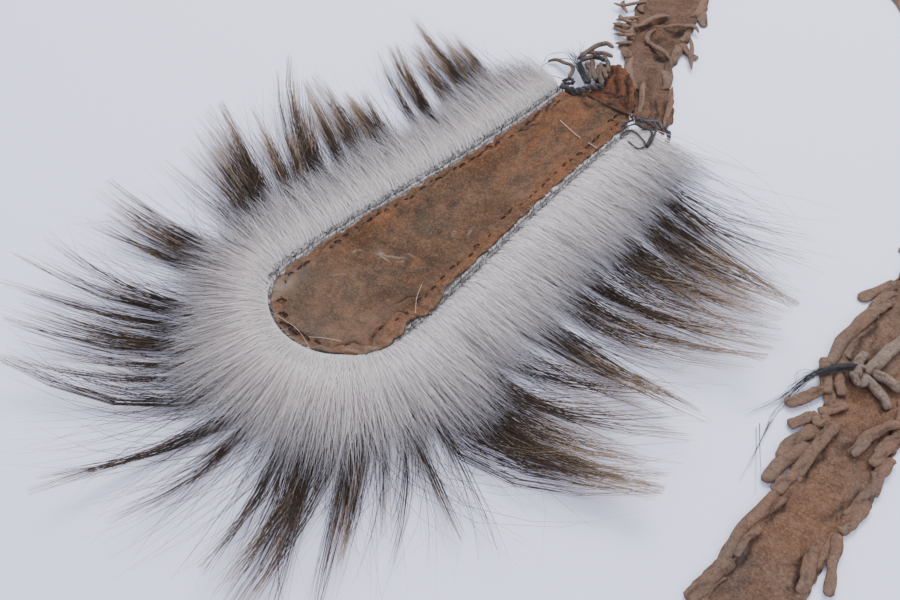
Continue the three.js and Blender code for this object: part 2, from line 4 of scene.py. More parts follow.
import bpy
import numpy as np
from bpy.props import FloatProperty, FloatVectorProperty, IntProperty, PointerProperty
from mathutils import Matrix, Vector


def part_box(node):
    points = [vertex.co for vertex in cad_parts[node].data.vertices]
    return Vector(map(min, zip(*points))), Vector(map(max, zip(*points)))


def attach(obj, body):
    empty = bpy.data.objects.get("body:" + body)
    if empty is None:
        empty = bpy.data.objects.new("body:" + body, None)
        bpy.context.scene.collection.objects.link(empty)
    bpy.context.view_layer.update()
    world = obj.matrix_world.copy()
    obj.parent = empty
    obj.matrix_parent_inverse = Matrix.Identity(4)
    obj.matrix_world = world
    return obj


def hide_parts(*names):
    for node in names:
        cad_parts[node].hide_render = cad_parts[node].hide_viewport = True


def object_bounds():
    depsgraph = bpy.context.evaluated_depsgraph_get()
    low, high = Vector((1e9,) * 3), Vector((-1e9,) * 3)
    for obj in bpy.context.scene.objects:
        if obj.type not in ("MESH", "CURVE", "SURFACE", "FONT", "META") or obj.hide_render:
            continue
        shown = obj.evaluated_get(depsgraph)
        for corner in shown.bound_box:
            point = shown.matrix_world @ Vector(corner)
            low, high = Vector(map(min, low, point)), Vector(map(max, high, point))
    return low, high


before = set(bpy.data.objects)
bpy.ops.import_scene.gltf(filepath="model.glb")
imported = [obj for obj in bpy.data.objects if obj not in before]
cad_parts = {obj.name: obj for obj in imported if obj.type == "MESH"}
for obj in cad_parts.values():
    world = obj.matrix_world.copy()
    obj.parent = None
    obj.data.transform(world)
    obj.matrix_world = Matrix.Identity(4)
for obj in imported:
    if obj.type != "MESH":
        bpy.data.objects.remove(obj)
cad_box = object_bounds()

bl_info = {
    "name": "Roach headdress",
    "version": (1, 0, 0),
    "blender": (4, 5, 0),
    "location": "View3D > Sidebar > Headdress",
    "description": "Dresses a roach headdress with leather, cords, stitches and hair",
    "category": "Object",
}

MM = 0.001

# Sizes that the pieces share with the solid model, in millimetres
BASE_LENGTH = 266
BACK_WIDTH = 52
FRONT_WIDTH = 80
NOSE_DEPTH = 36
BACK_TAB = 14
LEATHER = 2.2
RIM_WIDTH = 9
RIM_SLOPE = 6
HAIR_BAND = 1.4
BAND_WIDTH = 12
CORD = 2.2
CORD_SPACING = 2.7
GUARD_LENGTH = 150
WHITE_LENGTH = 66
WHITE_DEPTH = 7
GUARD_DEPTH = 3.4
TUFT_BREADTH = 12
TIP_RISE = 18
CLEARANCE = 0.3
HAIR_GAP = 0.25
STRAP_WIDTH = 42
FRINGE_LENGTH = 34
FRINGE_WIDTH = 6.5
WHITE_FLOOR = HAIR_BAND + CLEARANCE
RIM_FLOOR = WHITE_FLOOR + HAIR_BAND + CLEARANCE
CORD_LEVEL = RIM_FLOOR + CORD / 2
OVER_CORDS = RIM_FLOOR + CORD + CLEARANCE
INNER_CORD = 2 * CLEARANCE + CORD / 2
OUTER_CORD = INNER_CORD + CORD_SPACING

# The place of the base's back end in the frame: everything here is drawn from it
base_low, base_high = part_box("base_leather")
ORIGIN = np.array([base_low[0] + FRONT_WIDTH / 2 * MM, base_high[1] - BACK_TAB * MM, 0.0])

# The photograph's camera, from the same place
CAMERA_PLACE = (320.7, -473.3, 479.5)
CAMERA_AZIMUTH = 43.776
CAMERA_ELEVATION = 50.0
CAMERA_LENS = 44.0
CAMERA_SENSOR = 36.0

# How finely the pieces are drawn
RIM_CURVE_STEPS = 400
NEAR_RIM_STEPS = 300
NEAR_RIM_BATCH = 20000
BASE_GRID = (284, 79)
FIBRE_COUNT = 640
STRAW_STEPS = 14
CORD_STEPS = 740
KNOT_SPACING = 0.5
UNDERFUR_ROWS = 700
STRAP_ROWS = (150, 120, 190)
STRAP_LANES = 37
FLAP_GRID = (64, 60)
ROLL_SIDES = 14
RUN_STEPS = 26
FRINGE_STEPS = 18
EDGE_STEPS = 20
TIE_STEPS = 44
WISP_STEPS = 14


def rows(table):
    return np.array(table, dtype=float)


def between(table, at, column):
    table = rows(table)
    return np.interp(at, table[:, 0], table[:, column])


def unit(v):
    return v / np.maximum(np.linalg.norm(v, axis=-1, keepdims=True), 1e-9)


def turned(v, degrees):
    a = np.radians(degrees)
    c, s = np.cos(a), np.sin(a)
    return np.stack([c * v[..., 0] - s * v[..., 1], s * v[..., 0] + c * v[..., 1]], -1)


def smooth(x, low, high):
    t = np.clip((x - low) / (high - low), 0, 1)
    return t * t * (3 - 2 * t)


def raised(flat, level):
    """Flat places, each with its level."""
    return np.concatenate([flat, level[..., None]], -1)


def ripple(x, y, wavelength, seed, waves=7):
    """Even noise in about -1 to 1, from a few crossed waves of nearly one wavelength."""
    rng = np.random.default_rng(seed)
    total = 0
    for _ in range(waves):
        turn, phase = rng.uniform(0, 2 * math.pi, 2)
        k = 2 * math.pi / (wavelength * rng.uniform(0.7, 1.5))
        total = total + np.sin(k * (x * math.cos(turn) + y * math.sin(turn)) + phase)
    return total / math.sqrt(waves)


# The edge of the base, from the far back corner round the nose to the near back corner
def rim_curve():
    circle = 0.5523
    back, front = BACK_WIDTH / 2, FRONT_WIDTH / 2
    side = rows([(-back, 0), (-back, -0.4 * BASE_LENGTH), (-front, -0.62 * BASE_LENGTH),
                 (-front, NOSE_DEPTH - BASE_LENGTH)])
    nose = rows([(-front, NOSE_DEPTH - BASE_LENGTH), (-front, NOSE_DEPTH * (1 - circle) - BASE_LENGTH),
                 (-front * circle, -BASE_LENGTH), (0, -BASE_LENGTH)])
    t = np.linspace(0, 1, RIM_CURVE_STEPS)[:, None]
    basis = ((1 - t) ** 3, 3 * t * (1 - t) ** 2, 3 * t * t * (1 - t), t ** 3)
    far = np.concatenate([sum(b * p for b, p in zip(basis, ends)) for ends in (side, nose)])
    far = far[np.r_[True, np.linalg.norm(np.diff(far, axis=0), axis=1) > 1e-9]]
    return np.concatenate([far, far[::-1][1:] * [-1, 1]])


class Route:
    """A curve on the surface, read by the share of its length."""

    def __init__(self, line):
        self.line = line
        self.run = np.r_[0, np.cumsum(np.linalg.norm(np.diff(line, axis=0), axis=1))]
        self.length = self.run[-1]
        self.heading = unit(np.gradient(line, axis=0))

    def at(self, share):
        """Places, the way ahead and the way out to the side."""
        run = np.asarray(share) * self.length
        place = np.stack([np.interp(run, self.run, self.line[:, i]) for i in (0, 1)], -1)
        ahead = unit(np.stack([np.interp(run, self.run, self.heading[:, i]) for i in (0, 1)], -1))
        return place, ahead, np.stack([ahead[..., 1], -ahead[..., 0]], -1)


RIM = Route(rim_curve())
RIM_LENGTH = RIM.length


def rim_at(share):
    """Places on the rim and the way out from it."""
    place, _, out = RIM.at(share)
    return place, out


NEAR_SHARES = np.linspace(0, 1, NEAR_RIM_STEPS)
NEAR_PLACES, NEAR_OUTS = rim_at(NEAR_SHARES)


def near_rim(xy):
    """The nearest share of the rim and how far outside it each point lies."""
    flat = xy.reshape(-1, 2)
    share, reach = np.empty(len(flat)), np.empty(len(flat))
    for start in range(0, len(flat), NEAR_RIM_BATCH):
        batch = slice(start, start + NEAR_RIM_BATCH)
        part = flat[batch]
        gap = np.linalg.norm(part[:, None] - NEAR_PLACES[None], axis=2)
        nearest = gap.argmin(1)
        away = ((part - NEAR_PLACES[nearest]) * NEAR_OUTS[nearest]).sum(1)
        share[batch] = NEAR_SHARES[nearest]
        reach[batch] = gap[np.arange(len(part)), nearest] * np.where(away > 0, 1, -1)
    return share.reshape(xy.shape[:-1]), reach.reshape(xy.shape[:-1])


# The surface that parts the two hair rows: [share of the rim, height of the tips as a share of TIP_RISE]
TIP_RISES = [(0, 1.3), (0.35, 1.3), (0.5, 1.1), (0.58, 0.8), (0.75, 0.9), (1, 1)]


def parting_level(xy):
    share, reach = near_rim(xy)
    out = np.maximum(0, reach - BAND_WIDTH / 2)
    climb = 0.45 * out + 1.6 * np.maximum(0, out - 1.3 * WHITE_LENGTH)
    return HAIR_BAND + CLEARANCE / 2 + between(TIP_RISES, share, 1) * TIP_RISE * climb / GUARD_LENGTH


def centripetal(points, samples):
    """A curve through points, each stretch paced by the root of its length."""
    points = rows(points)
    ends = [2 * points[0] - points[1], *points, 2 * points[-1] - points[-2]]
    line = []
    for a, b, c, d in zip(ends, ends[1:], ends[2:], ends[3:]):
        pace = [max(np.linalg.norm(q - p), 1e-6) ** 0.5 for p, q in ((a, b), (b, c), (c, d))]
        first = ((b - a) / pace[0] - (c - a) / (pace[0] + pace[1]) + (c - b) / pace[1]) * pace[1]
        last = ((c - b) / pace[1] - (d - b) / (pace[1] + pace[2]) + (d - c) / pace[2]) * pace[1]
        t = np.linspace(0, 1, samples, endpoint=False)[:, None]
        line.append(b + first * t + (3 * (c - b) - 2 * first - last) * t ** 2
                    + (2 * (b - c) + first + last) * t ** 3)
    return np.concatenate([*line, points[-1:]])


def resampled(line, count):
    run = np.r_[0, np.cumsum(np.linalg.norm(np.diff(line, axis=0), axis=1))]
    at = np.linspace(0, run[-1], count)
    return np.stack([np.interp(at, run, line[:, i]) for i in range(line.shape[1])], -1)


# Node trees
class Val:
    """A socket that can be used in sums."""

    def __init__(self, tree, socket):
        self.tree, self.socket = tree, socket

    def _do(self, operation, *others):
        return self.tree.node("ShaderNodeMath", {"operation": operation}, [self, *others])

    def __add__(self, other):
        return self._do("ADD", other)

    __radd__ = __add__

    def __mul__(self, other):
        return self._do("MULTIPLY", other)

    __rmul__ = __mul__

    def __sub__(self, other):
        return self._do("SUBTRACT", other)

    def __rsub__(self, other):
        return self.tree.node("ShaderNodeMath", {"operation": "SUBTRACT"}, [other, self])

    def __pow__(self, other):
        return self._do("POWER", other)

    def clamped(self):
        return self.tree.node("ShaderNodeClamp", {}, [self])


class Tree:
    """A node tree, built up node by node."""

    def __init__(self, tree):
        self.nodes, self.links = tree.nodes, tree.links

    def feed(self, socket, value):
        """Joins a value to an input, or sets the input."""
        if isinstance(value, Val):
            self.links.new(value.socket, socket)
        else:
            socket.default_value = value

    def node(self, kind, settings, values, output=0):
        made = self.nodes.new(kind)
        for key, value in settings.items():
            if key == "stops":
                self.set_stops(made.color_ramp, value)
            else:
                setattr(made, key, value)
        named = values.items() if isinstance(values, dict) else enumerate(values)
        for key, value in named:
            self.feed(made.inputs[key], value)
        return Val(self, made.outputs[output])

    @staticmethod
    def set_stops(ramp, stops):
        while len(ramp.elements) < len(stops):
            ramp.elements.new(0.5)
        for element, (place, color) in zip(ramp.elements, stops):
            element.position = place
            element.color = (*color, 1)


class Finish(Tree):
    """One material."""

    def __init__(self, name, roughness, **constants):
        self.material = bpy.data.materials.new(name)
        self.material.use_nodes = True
        super().__init__(self.material.node_tree)
        self.shader = self.nodes["Principled BSDF"]
        self.shader.inputs["Roughness"].default_value = roughness
        for socket, value in constants.items():
            self.shader.inputs[socket.replace("_", " ")].default_value = value

    def place(self, stretch=(1, 1, 1)):
        where = self.node("ShaderNodeTexCoord", {}, {}, "Object")
        return self.node("ShaderNodeMapping", {}, {"Vector": where, "Scale": stretch})

    def attribute(self, name):
        return self.node("ShaderNodeAttribute", {"attribute_name": name}, {}, "Fac")

    def noise(self, where, scale, detail=4.0, roughness=0.55):
        values = {"Vector": where, "Scale": scale, "Detail": detail, "Roughness": roughness}
        return self.node("ShaderNodeTexNoise", {}, values)

    def ramp(self, value, stops):
        return self.node("ShaderNodeValToRGB", {"stops": stops}, [value])

    def level(self, value, low, high):
        return self.node("ShaderNodeMapRange", {}, {"Value": value, "From Min": low, "From Max": high})

    def mix(self, factor, first, second, blend="MIX"):
        first, second = (c if isinstance(c, Val) else (*c, 1) for c in (first, second))
        settings = {"data_type": "RGBA", "blend_type": blend}
        return self.node("ShaderNodeMix", settings, {0: factor, 6: first, 7: second}, 2)

    def color(self, value):
        self.feed(self.shader.inputs["Base Color"], value)

    def bump(self, height, distance, strength=1.0):
        made = self.node("ShaderNodeBump", {}, {"Height": height, "Distance": distance, "Strength": strength})
        self.feed(self.shader.inputs["Normal"], made)


class Group(Tree):
    """A Geometry Nodes group with named inputs, which ends in one material."""

    def __init__(self, name, inputs):
        self.group = bpy.data.node_groups.new(name, "GeometryNodeTree")
        super().__init__(self.group)
        for label, kind in inputs.items():
            self.group.interface.new_socket(label, in_out="INPUT", socket_type="NodeSocket" + kind)
        self.group.interface.new_socket("Shape", in_out="OUTPUT", socket_type="NodeSocketGeometry")
        self.inputs = self.nodes.new("NodeGroupInput").outputs

    def given(self, label):
        return Val(self, self.inputs[label])

    def own(self, attribute):
        """A number that each point of the mesh brings with it."""
        settings = {"data_type": "FLOAT"}
        return self.node("GeometryNodeInputNamedAttribute", settings, {"Name": attribute}, "Attribute")

    def finished(self, shape):
        shape = self.node("GeometryNodeSetShadeSmooth", {}, [shape])
        shape = self.node("GeometryNodeRealizeInstances", {}, [shape])
        painted = {"Geometry": shape, "Material": self.given("Material")}
        shape = self.node("GeometryNodeSetMaterial", {}, painted)
        self.feed(self.nodes.new("NodeGroupOutput").inputs[0], shape)
        return self.group


# Settings
def color_setting(name, description, default):
    return FloatVectorProperty(name=name, description=description, subtype="COLOR", default=default)


class HideSettings(bpy.types.PropertyGroup):
    hide_color: color_setting("Hide", "Worn brown of the base", (0.178, 0.1, 0.053))
    hide_patch: color_setting("Hide patches", "Redder brown of the base", (0.088, 0.044, 0.021))
    rust_color: color_setting("Rust", "Orange streaks along the edges", (0.25, 0.104, 0.043))
    stain_color: color_setting("Stain", "Grey-olive stains in the middle", (0.085, 0.066, 0.042))
    strap_color: color_setting("Strap", "Soft taupe of the strap", (0.248, 0.148, 0.094))
    strap_patch: color_setting("Strap patches", "Orange-brown patches of the strap", (0.235, 0.115, 0.057))
    strap_stain: color_setting("Strap stains", "Greyer wear on the strap", (0.15, 0.108, 0.078))
    root_color: color_setting("Root", "Reddish flap at the strap's root", (0.215, 0.082, 0.034))
    thong_color: color_setting("Thong", "Pale rolled thongs", (0.3, 0.212, 0.145))
    stitch_spacing: FloatProperty(name="Stitch spacing", default=7.5, min=3,
                                  description="From one running stitch to the next, in mm")
    stitch_inset: FloatProperty(name="Stitch inset", default=5.8, min=2,
                                description="From the leather's edge to the seam, in mm")
    grain: FloatProperty(name="Grain", default=0.0009, unit="LENGTH",
                         description="Depth of the suede's fibres")


class HairSettings(bpy.types.PropertyGroup):
    white_count: IntProperty(name="White hairs", default=7400, min=10,
                             description="Hairs in each of the white row's three lengths")
    guard_count: IntProperty(name="Guard hairs", default=66, min=4,
                             description="Guard hairs in a tuft of full breadth")
    loose_count: IntProperty(name="Loose hairs", default=1450, min=0,
                             description="Guard hairs between the tufts")
    white_thickness: FloatProperty(name="White thickness", default=0.26,
                                   description="Thickness of a white hair at its root, in mm")
    guard_thickness: FloatProperty(name="Guard thickness", default=0.38,
                                   description="Thickness of a guard hair at its middle, in mm")
    seed: IntProperty(name="Seed", default=7, description="Fixed start of the random draws")
    white_color: color_setting("White", "Cream of the white hair", (0.86, 0.79, 0.745))
    dark_color: color_setting("Dark", "Dark brown of the guard hair", (0.018, 0.011, 0.0075))
    tip_color: color_setting("Tips", "Tan of the guard hair's tips", (0.46, 0.335, 0.225))


class StageSettings(bpy.types.PropertyGroup):
    floor_color: color_setting("Floor", "Pale cool grey of the surface", (0.87, 0.885, 1.0))
    light: FloatProperty(name="Light", default=1.0, min=0, description="Strength of the soft light")


# Making meshes
def link(obj):
    bpy.context.scene.collection.objects.link(obj)
    return obj


def new_mesh(name, points, edges, faces, attributes):
    """A mesh of points in millimetres from the base's back end, with its numbers for each point."""
    mesh = bpy.data.meshes.new(name)
    mesh.from_pydata((points * MM + ORIGIN).tolist(), edges, faces)
    for key, values in attributes.items():
        data = mesh.attributes.new(key, "FLOAT", "POINT").data
        data.foreach_set("value", np.ravel(values).astype(np.float32))
    return mesh


def mesh_piece(name, points, faces, material, attributes):
    mesh = new_mesh(name, points, [], faces, attributes)
    mesh.polygons.foreach_set("use_smooth", np.ones(len(mesh.polygons), bool))
    mesh.materials.append(material)
    face_out(mesh)
    return link(bpy.data.objects.new(name, mesh))


def face_out(mesh):
    """Turns a closed mesh right side out."""
    mesh.calc_loop_triangles()
    corners = np.empty(len(mesh.loop_triangles) * 3, np.int32)
    mesh.loop_triangles.foreach_get("vertices", corners)
    places = np.empty(len(mesh.vertices) * 3, np.float32)
    mesh.vertices.foreach_get("co", places)
    a, b, c = places.reshape(-1, 3)[corners.reshape(-1, 3)].transpose(1, 0, 2).astype(float)
    if np.einsum("ij,ij->", a, np.cross(b, c)) < 0:
        mesh.flip_normals()


def tube_faces(rings, around):
    """Quads round a stack of rings, with its two ends closed."""
    i, j = np.meshgrid(np.arange(rings - 1), np.arange(around), indexing="ij")
    a, b = i * around + j, i * around + (j + 1) % around
    faces = np.stack([a, b, b + around, a + around], -1).reshape(-1, 4).tolist()
    return faces + [list(range(around))[::-1], list(range((rings - 1) * around, rings * around))]


def slab(name, under, top, material, attributes):
    """A leather sheet between an underside and a top of the same grid, closed along its sides and ends: the
    top brings the rounding of its edge.
    """
    across = under.shape[1]
    rings = np.concatenate([under, top[:, ::-1]], axis=1)
    count = rings.shape[1]
    faces = tube_faces(len(rings), count)[:-2]
    ends = [[j, count - 1 - j, count - 2 - j, j + 1] for j in range(across - 1)]
    last = (len(rings) - 1) * count
    ends += [[last + k for k in quad[::-1]] for quad in ends]
    spread = {key: np.concatenate([v, v[:, ::-1]], axis=1) for key, v in attributes.items()}
    return mesh_piece(name, rings.reshape(-1, 3), faces + ends, material, spread)


def strand_group():
    """Gives lines a round tapered body: the thick number of each point times Thickness."""
    group = Group("strands", {"Lines": "Geometry", "Thickness": "Float", "Sides": "Int",
                              "Material": "Material"})
    curve = group.node("GeometryNodeMeshToCurve", {}, [group.given("Lines")])
    section = {"Resolution": group.given("Sides"), "Radius": 1.0}
    section = group.node("GeometryNodeCurvePrimitiveCircle", {}, section, "Curve")
    body = {"Curve": curve, "Profile Curve": section, "Fill Caps": True,
            "Scale": group.own("thick") * group.given("Thickness")}
    return group.finished(group.node("GeometryNodeCurveToMesh", {}, body))


def strands(name, lines, thick, material, sides, attributes):
    """Round strands along lines, an array of strand by point by place in millimetres."""
    count, steps = lines.shape[:2]
    order = np.arange(count * steps).reshape(count, steps)
    edges = np.stack([order[:, :-1], order[:, 1:]], -1).reshape(-1, 2).tolist()
    marks = {"thick": thick, **attributes}
    marks = {key: np.broadcast_to(values, (count, steps)) for key, values in marks.items()}
    group = bpy.data.node_groups.get("strands") or strand_group()
    inputs = {"Thickness": MM / 2, "Sides": sides, "Material": material}
    return grown(name, new_mesh(name, lines.reshape(-1, 3), edges, [], marks), group, inputs)


def grown(name, source, group, inputs):
    """What a Geometry Nodes group makes of a mesh, as a plain object."""
    holder = link(bpy.data.objects.new(name, source))
    modifier = holder.modifiers.new(group.name, "NODES")
    modifier.node_group = group
    sockets = {item.name: item.identifier for item in group.interface.items_tree}
    for label, value in inputs.items():
        modifier[sockets[label]] = value
    graph = bpy.context.evaluated_depsgraph_get()
    mesh = bpy.data.meshes.new_from_object(holder.evaluated_get(graph))
    holder.modifiers.clear()
    bpy.data.objects.remove(holder)
    bpy.data.meshes.remove(source)
    face_out(mesh)
    mesh.name = name
    return link(bpy.data.objects.new(name, mesh))


def settle(piece, slot, *nodes):
    """Hands a finished piece to the frame."""
    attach(piece, "root")
    if nodes:
        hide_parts(*nodes)
    return piece


# Finishes
def lighter(color, times):
    return [min(1, times * c + 0.02) for c in color]


def suede(name, main, patch, stain, grain, patch_scale, rust=None):
    """Brushed hide: patches, stains and a fine nap, with painted shade in creases, hollows and undersides,
    and pale wear and painted highlights where the mesh says.
    """
    made = Finish(name, 0.95, Sheen_Weight=0.05, Sheen_Roughness=0.6, Specular_IOR_Level=0.08)
    where = made.place()
    broad = made.level(made.noise(where, patch_scale * 0.35, 4, 0.62), 0.43, 0.57)
    blotch = made.level(made.noise(where, patch_scale, 9, 0.72), 0.43, 0.6)
    stains = made.level(made.noise(where, patch_scale * 0.5, 10, 0.76), 0.48, 0.64)
    color = made.mix((broad * 0.5 + blotch * 0.5).clamped(), main, patch)
    color = made.mix(stains * 0.9, color, stain)
    if rust is not None:
        streak = made.noise(made.place((1, 0.55, 1)), patch_scale * 1.4, 9, 0.74)
        edge = made.level(made.attribute("edge") * 0.13 + streak, 0.52, 0.7)
        color = made.mix(edge * 0.85, color, rust)
    dapple = made.noise(where, 170, 8, 0.78)
    vein = made.noise(where, patch_scale * 1.1, 7, 0.62)
    line = made.level((vein - 0.5) ** 2, 0.00035, 0)
    color = made.mix(line * 0.3, color, (0.5, 0.47, 0.45), "MULTIPLY")
    nap = made.noise(where, 820, 5, 0.82)
    color = made.mix(made.level(dapple, 0.53, 0.36) * 0.5, color, (0.36, 0.33, 0.3), "MULTIPLY")
    color = made.mix(made.level(nap, 0.52, 0.34) * 0.65, color, (0.36, 0.33, 0.31), "MULTIPLY")
    color = made.mix(made.level(nap, 0.53, 0.7) * 0.5, color, lighter(main, 2.1))
    # Pale wear where the mesh marks it, and painted highlights on the tops of rolled strips.
    color = made.mix(made.attribute("worn").clamped() * 0.75, color, (0.31, 0.24, 0.175))
    # Painted shade: near black where the mesh marks creases, hollows, slits and undersides.
    color = made.mix(made.attribute("crease").clamped() * 0.92, color, (0.014, 0.009, 0.007))
    made.color(color)
    made.bump(nap * 0.9 + dapple * 1.8 - line * 0.25, grain)
    return made.material


def twisted(name, main, dark):
    """Cord fibre: pale plies with darker threads among them, by the tone of each strand."""
    made = Finish(name, 0.9, Sheen_Weight=0.15, Specular_IOR_Level=0.2)
    where = made.place()
    dirt = made.level(made.noise(where, 230, 5, 0.7), 0.42, 0.62)
    color = made.mix(made.attribute("tone"), main, dark)
    color = made.mix(dirt * 0.7, color, (0.3, 0.27, 0.25), "MULTIPLY")
    made.color(color)
    made.bump(made.noise(where, 2400, 3, 0.7), 0.0004)
    return made.material


def hair_white(settings):
    """Cream at the cords, greyer outward, with some dark hairs among the white."""
    made = Finish("white hair", 0.55, Specular_IOR_Level=0.3)
    along, tone = made.attribute("along"), made.attribute("tone")
    white = settings.white_color
    color = made.ramp(along, [(0, (0.72, 0.69, 0.64)), (0.2, white), (0.55, [0.9 * c for c in white]),
                              (1, (0.5, 0.485, 0.49))])
    color = made.mix(made.level(tone, 0.4, 0) * 0.5, color, (0.42, 0.41, 0.42))
    smoky = made.level(tone, 0.82, 0.92) * made.level(along, 0.26, 0.55)
    color = made.mix(smoky * 0.85, color, (0.06, 0.048, 0.044))
    made.color(color)
    return made.material


def hair_dark(settings):
    """Guard hair: pale root, dark brown length, tan tip, each hair a little different."""
    made = Finish("guard hair", 0.6, Specular_IOR_Level=0.12)
    along, tone = made.attribute("along"), made.attribute("tone")
    dark, tip = settings.dark_color, settings.tip_color
    shares = ((0.95, 0.08), (0.7, 0.15))
    warm, brown = ([a * d + b * t for d, t in zip(dark, tip)] for a, b in shares)
    color = made.ramp(along, [(0, (0.6, 0.57, 0.53)), (0.28, (0.3, 0.27, 0.26)), (0.38, dark), (0.64, warm),
                              (0.8, brown), (0.94, tip)])
    color = made.mix(made.level(tone, 0.6, 1) * 0.4, color, brown)
    made.color(color)
    return made.material


def plain_hair(name, color):
    made = Finish(name, 0.4, Specular_IOR_Level=0.4)
    made.color(made.mix(made.attribute("tone"), color, lighter(color, 2.2)))
    return made.material


# Base
OVERHANG = [
    (0.515, 0, 0), (0.54, 0, 1), (0.555, 0, 1), (0.575, 0.045, 1), (0.6, 0.055, 1), (0.618, 0.045, 1),
    (0.63, 0, 1), (0.645, 0.055, 1), (0.667, 0.06, 1), (0.685, 0, 1), (0.705, 0, 1), (0.73, 0, 0),
]


def half_width(y):
    far = RIM.line[:len(RIM.line) // 2 + 1]
    inside = -np.interp(-y, -far[:, 1], far[:, 0])
    return np.where(y >= 0, BACK_WIDTH / 2 * (1 - 0.26 * np.clip(y, 0, None) / BACK_TAB), inside)


def base_floor(xy):
    """The underside of the base, with the share of the rim and the reach of each point."""
    x, y = xy[..., 0], xy[..., 1]
    share, reach = near_rim(xy)
    behind = y >= 0
    share = np.where(behind, 0, share)
    reach = np.where(behind, np.abs(x) - BACK_WIDTH / 2, reach)
    raised = 1 - smooth(-reach, RIM_WIDTH, RIM_WIDTH + RIM_SLOPE)
    lifted = (1 - smooth(-reach, RIM_WIDTH / 6, RIM_WIDTH / 2)) * between(OVERHANG, share, 2)
    floor = raised * RIM_FLOOR * (1 - lifted) + OVER_CORDS * lifted
    return floor * (1 - smooth(y, 1, 0.7 * BACK_TAB)), share, reach


# Folds and lips of the worn edge: [x, y, heading, half length, half width, height, darkness of the painted
# shade in its crease]
BASE_FOLDS = [
    (-20, -28, 96, 16, 2.0, 1.7, 1.0), (-16, -47, 68, 9, 1.6, 1.3, 1.0), (-22, -80, 93, 22, 1.7, 1.3, 0.9),
    (-25, -118, 97, 14, 1.5, 1.0, 0.7), (-30, -172, 100, 16, 1.7, 1.3, 0.8),
    (-33, -205, 98, 10, 1.8, 1.2, 0.7),
    (30, -203, 62, 9, 2.4, 2.0, 1.0), (36, -213, 25, 7, 2.0, 1.8, 1.0), (36, -229, 100, 11, 2.6, 1.6, 0.7),
    (30, -248, 48, 10, 1.9, 1.4, 0.7), (-34, -238, 68, 9, 1.6, 1.0, 0.5), (12, -260, 10, 9, 1.6, 1.0, 0.6),
    (0, 10, 30, 8, 1.5, 1.3, 1.0), (13, 3, 20, 5, 1.1, 0.8, 0.9), (-8, 4, 160, 7, 1.6, 0.9, 0.7),
    (22, -70, 92, 12, 1.3, 0.7, 0.5), (24, -128, 84, 14, 1.3, 0.7, 0.5), (5, -110, 140, 14, 1.2, 0.35, 0.18),
    (-6, -150, 25, 12, 1.2, 0.35, 0.18), (12, -186, 60, 12, 1.2, 0.4, 0.2),
    (-2, -60, 100, 12, 1.2, 0.35, 0.18),
]


def wandering(x, y, cx, cy, heading):
    """Each point's place along and off a short line through a centre, which wanders a little."""
    a = math.radians(heading)
    along = (x - cx) * math.cos(a) + (y - cy) * math.sin(a)
    off = -(x - cx) * math.sin(a) + (y - cy) * math.cos(a)
    return along, off + 0.9 * np.sin(along / 3.1 + cx) + 0.4 * np.sin(along / 1.3 + cy)


def folds_at(x, y, folds):
    """How far the folds raise each point and how dark the painted shade in their creases makes it."""
    height, crease = np.zeros_like(x), np.zeros_like(x)
    for cx, cy, heading, half_length, half_breadth, rise, dark in folds:
        along, off = wandering(x, y, cx, cy, heading)
        fade = np.exp(-(along / half_length) ** 4)
        height += rise * fade * np.exp(-(off / half_breadth) ** 2)
        valley = np.exp(-((off - 1.5 * half_breadth) / (0.42 * half_breadth)) ** 2)
        height -= 0.3 * rise * fade * valley
        # Painted shade along the valley beside each fold.
        crease = np.maximum(crease, dark * fade * valley)
    return height, crease


# Pale scratches: [x, y, heading, half length, half width, strength]
SCRATCHES = [
    (-4, -183, 20, 8, 0.6, 0.9), (3, -181, 60, 4, 0.5, 0.9), (-8, -188, 5, 6, 0.5, 0.9),
    (-12, -186, 150, 3, 0.4, 0.8), (10, -145, 120, 6, 0.4, 0.6), (16, -138, 100, 4, 0.3, 0.6),
    (-22, -196, 60, 4, 0.4, 0.6), (4, -176, 10, 5, 0.4, 0.5), (-16, -214, 40, 6, 0.4, 0.4),
    (12, -88, 70, 7, 0.4, 0.4), (-8, -64, 110, 6, 0.4, 0.4),
]


def streaks_at(x, y, streaks):
    """Strength at each point of short streaks of [x, y, heading, half length, half width, strength]."""
    total = np.zeros_like(x)
    for cx, cy, heading, half_length, half_width, strength in streaks:
        along, off = wandering(x, y, cx, cy, heading)
        total = np.maximum(total, strength * np.exp(-(along / half_length) ** 4 - (off / half_width) ** 2))
    return total


def seam_inset(share, inset):
    """How far in from the edge the running seam wanders."""
    return inset + 1.1 * ripple(share * RIM_LENGTH, 0 * share, 34, 56)


def hide_top(x, y, floor, reach, share, inset):
    """The height of the worn face over its underside."""
    height, crease = folds_at(x, y, BASE_FOLDS)
    soft = 1 - smooth(-reach, RIM_WIDTH - 2, RIM_WIDTH + 2 * RIM_SLOPE)
    sag = np.maximum(0, soft * RIM_FLOOR * (1 - smooth(y, 1, 0.7 * BACK_TAB)) - floor)
    cockle = 0.55 * ripple(x, y, 26, 11) + 0.3 * ripple(x, y, 11, 12) + 0.14 * ripple(x, y, 4.5, 14)
    run = share * RIM_LENGTH
    pucker = 0.55 * ripple(run, 0 * run, 7, 18) + 0.3 * ripple(run, 0 * run, 3.6, 19)
    pucker = pucker * smooth(reach, -7, -2)
    depth = 0.38 + 0.26 * ripple(run, 0 * run, 12, 16)
    groove = depth * np.exp(-((reach + seam_inset(share, inset)) / 1.0) ** 2)
    return np.maximum(0.7, LEATHER + cockle + height + sag + pucker - groove), crease


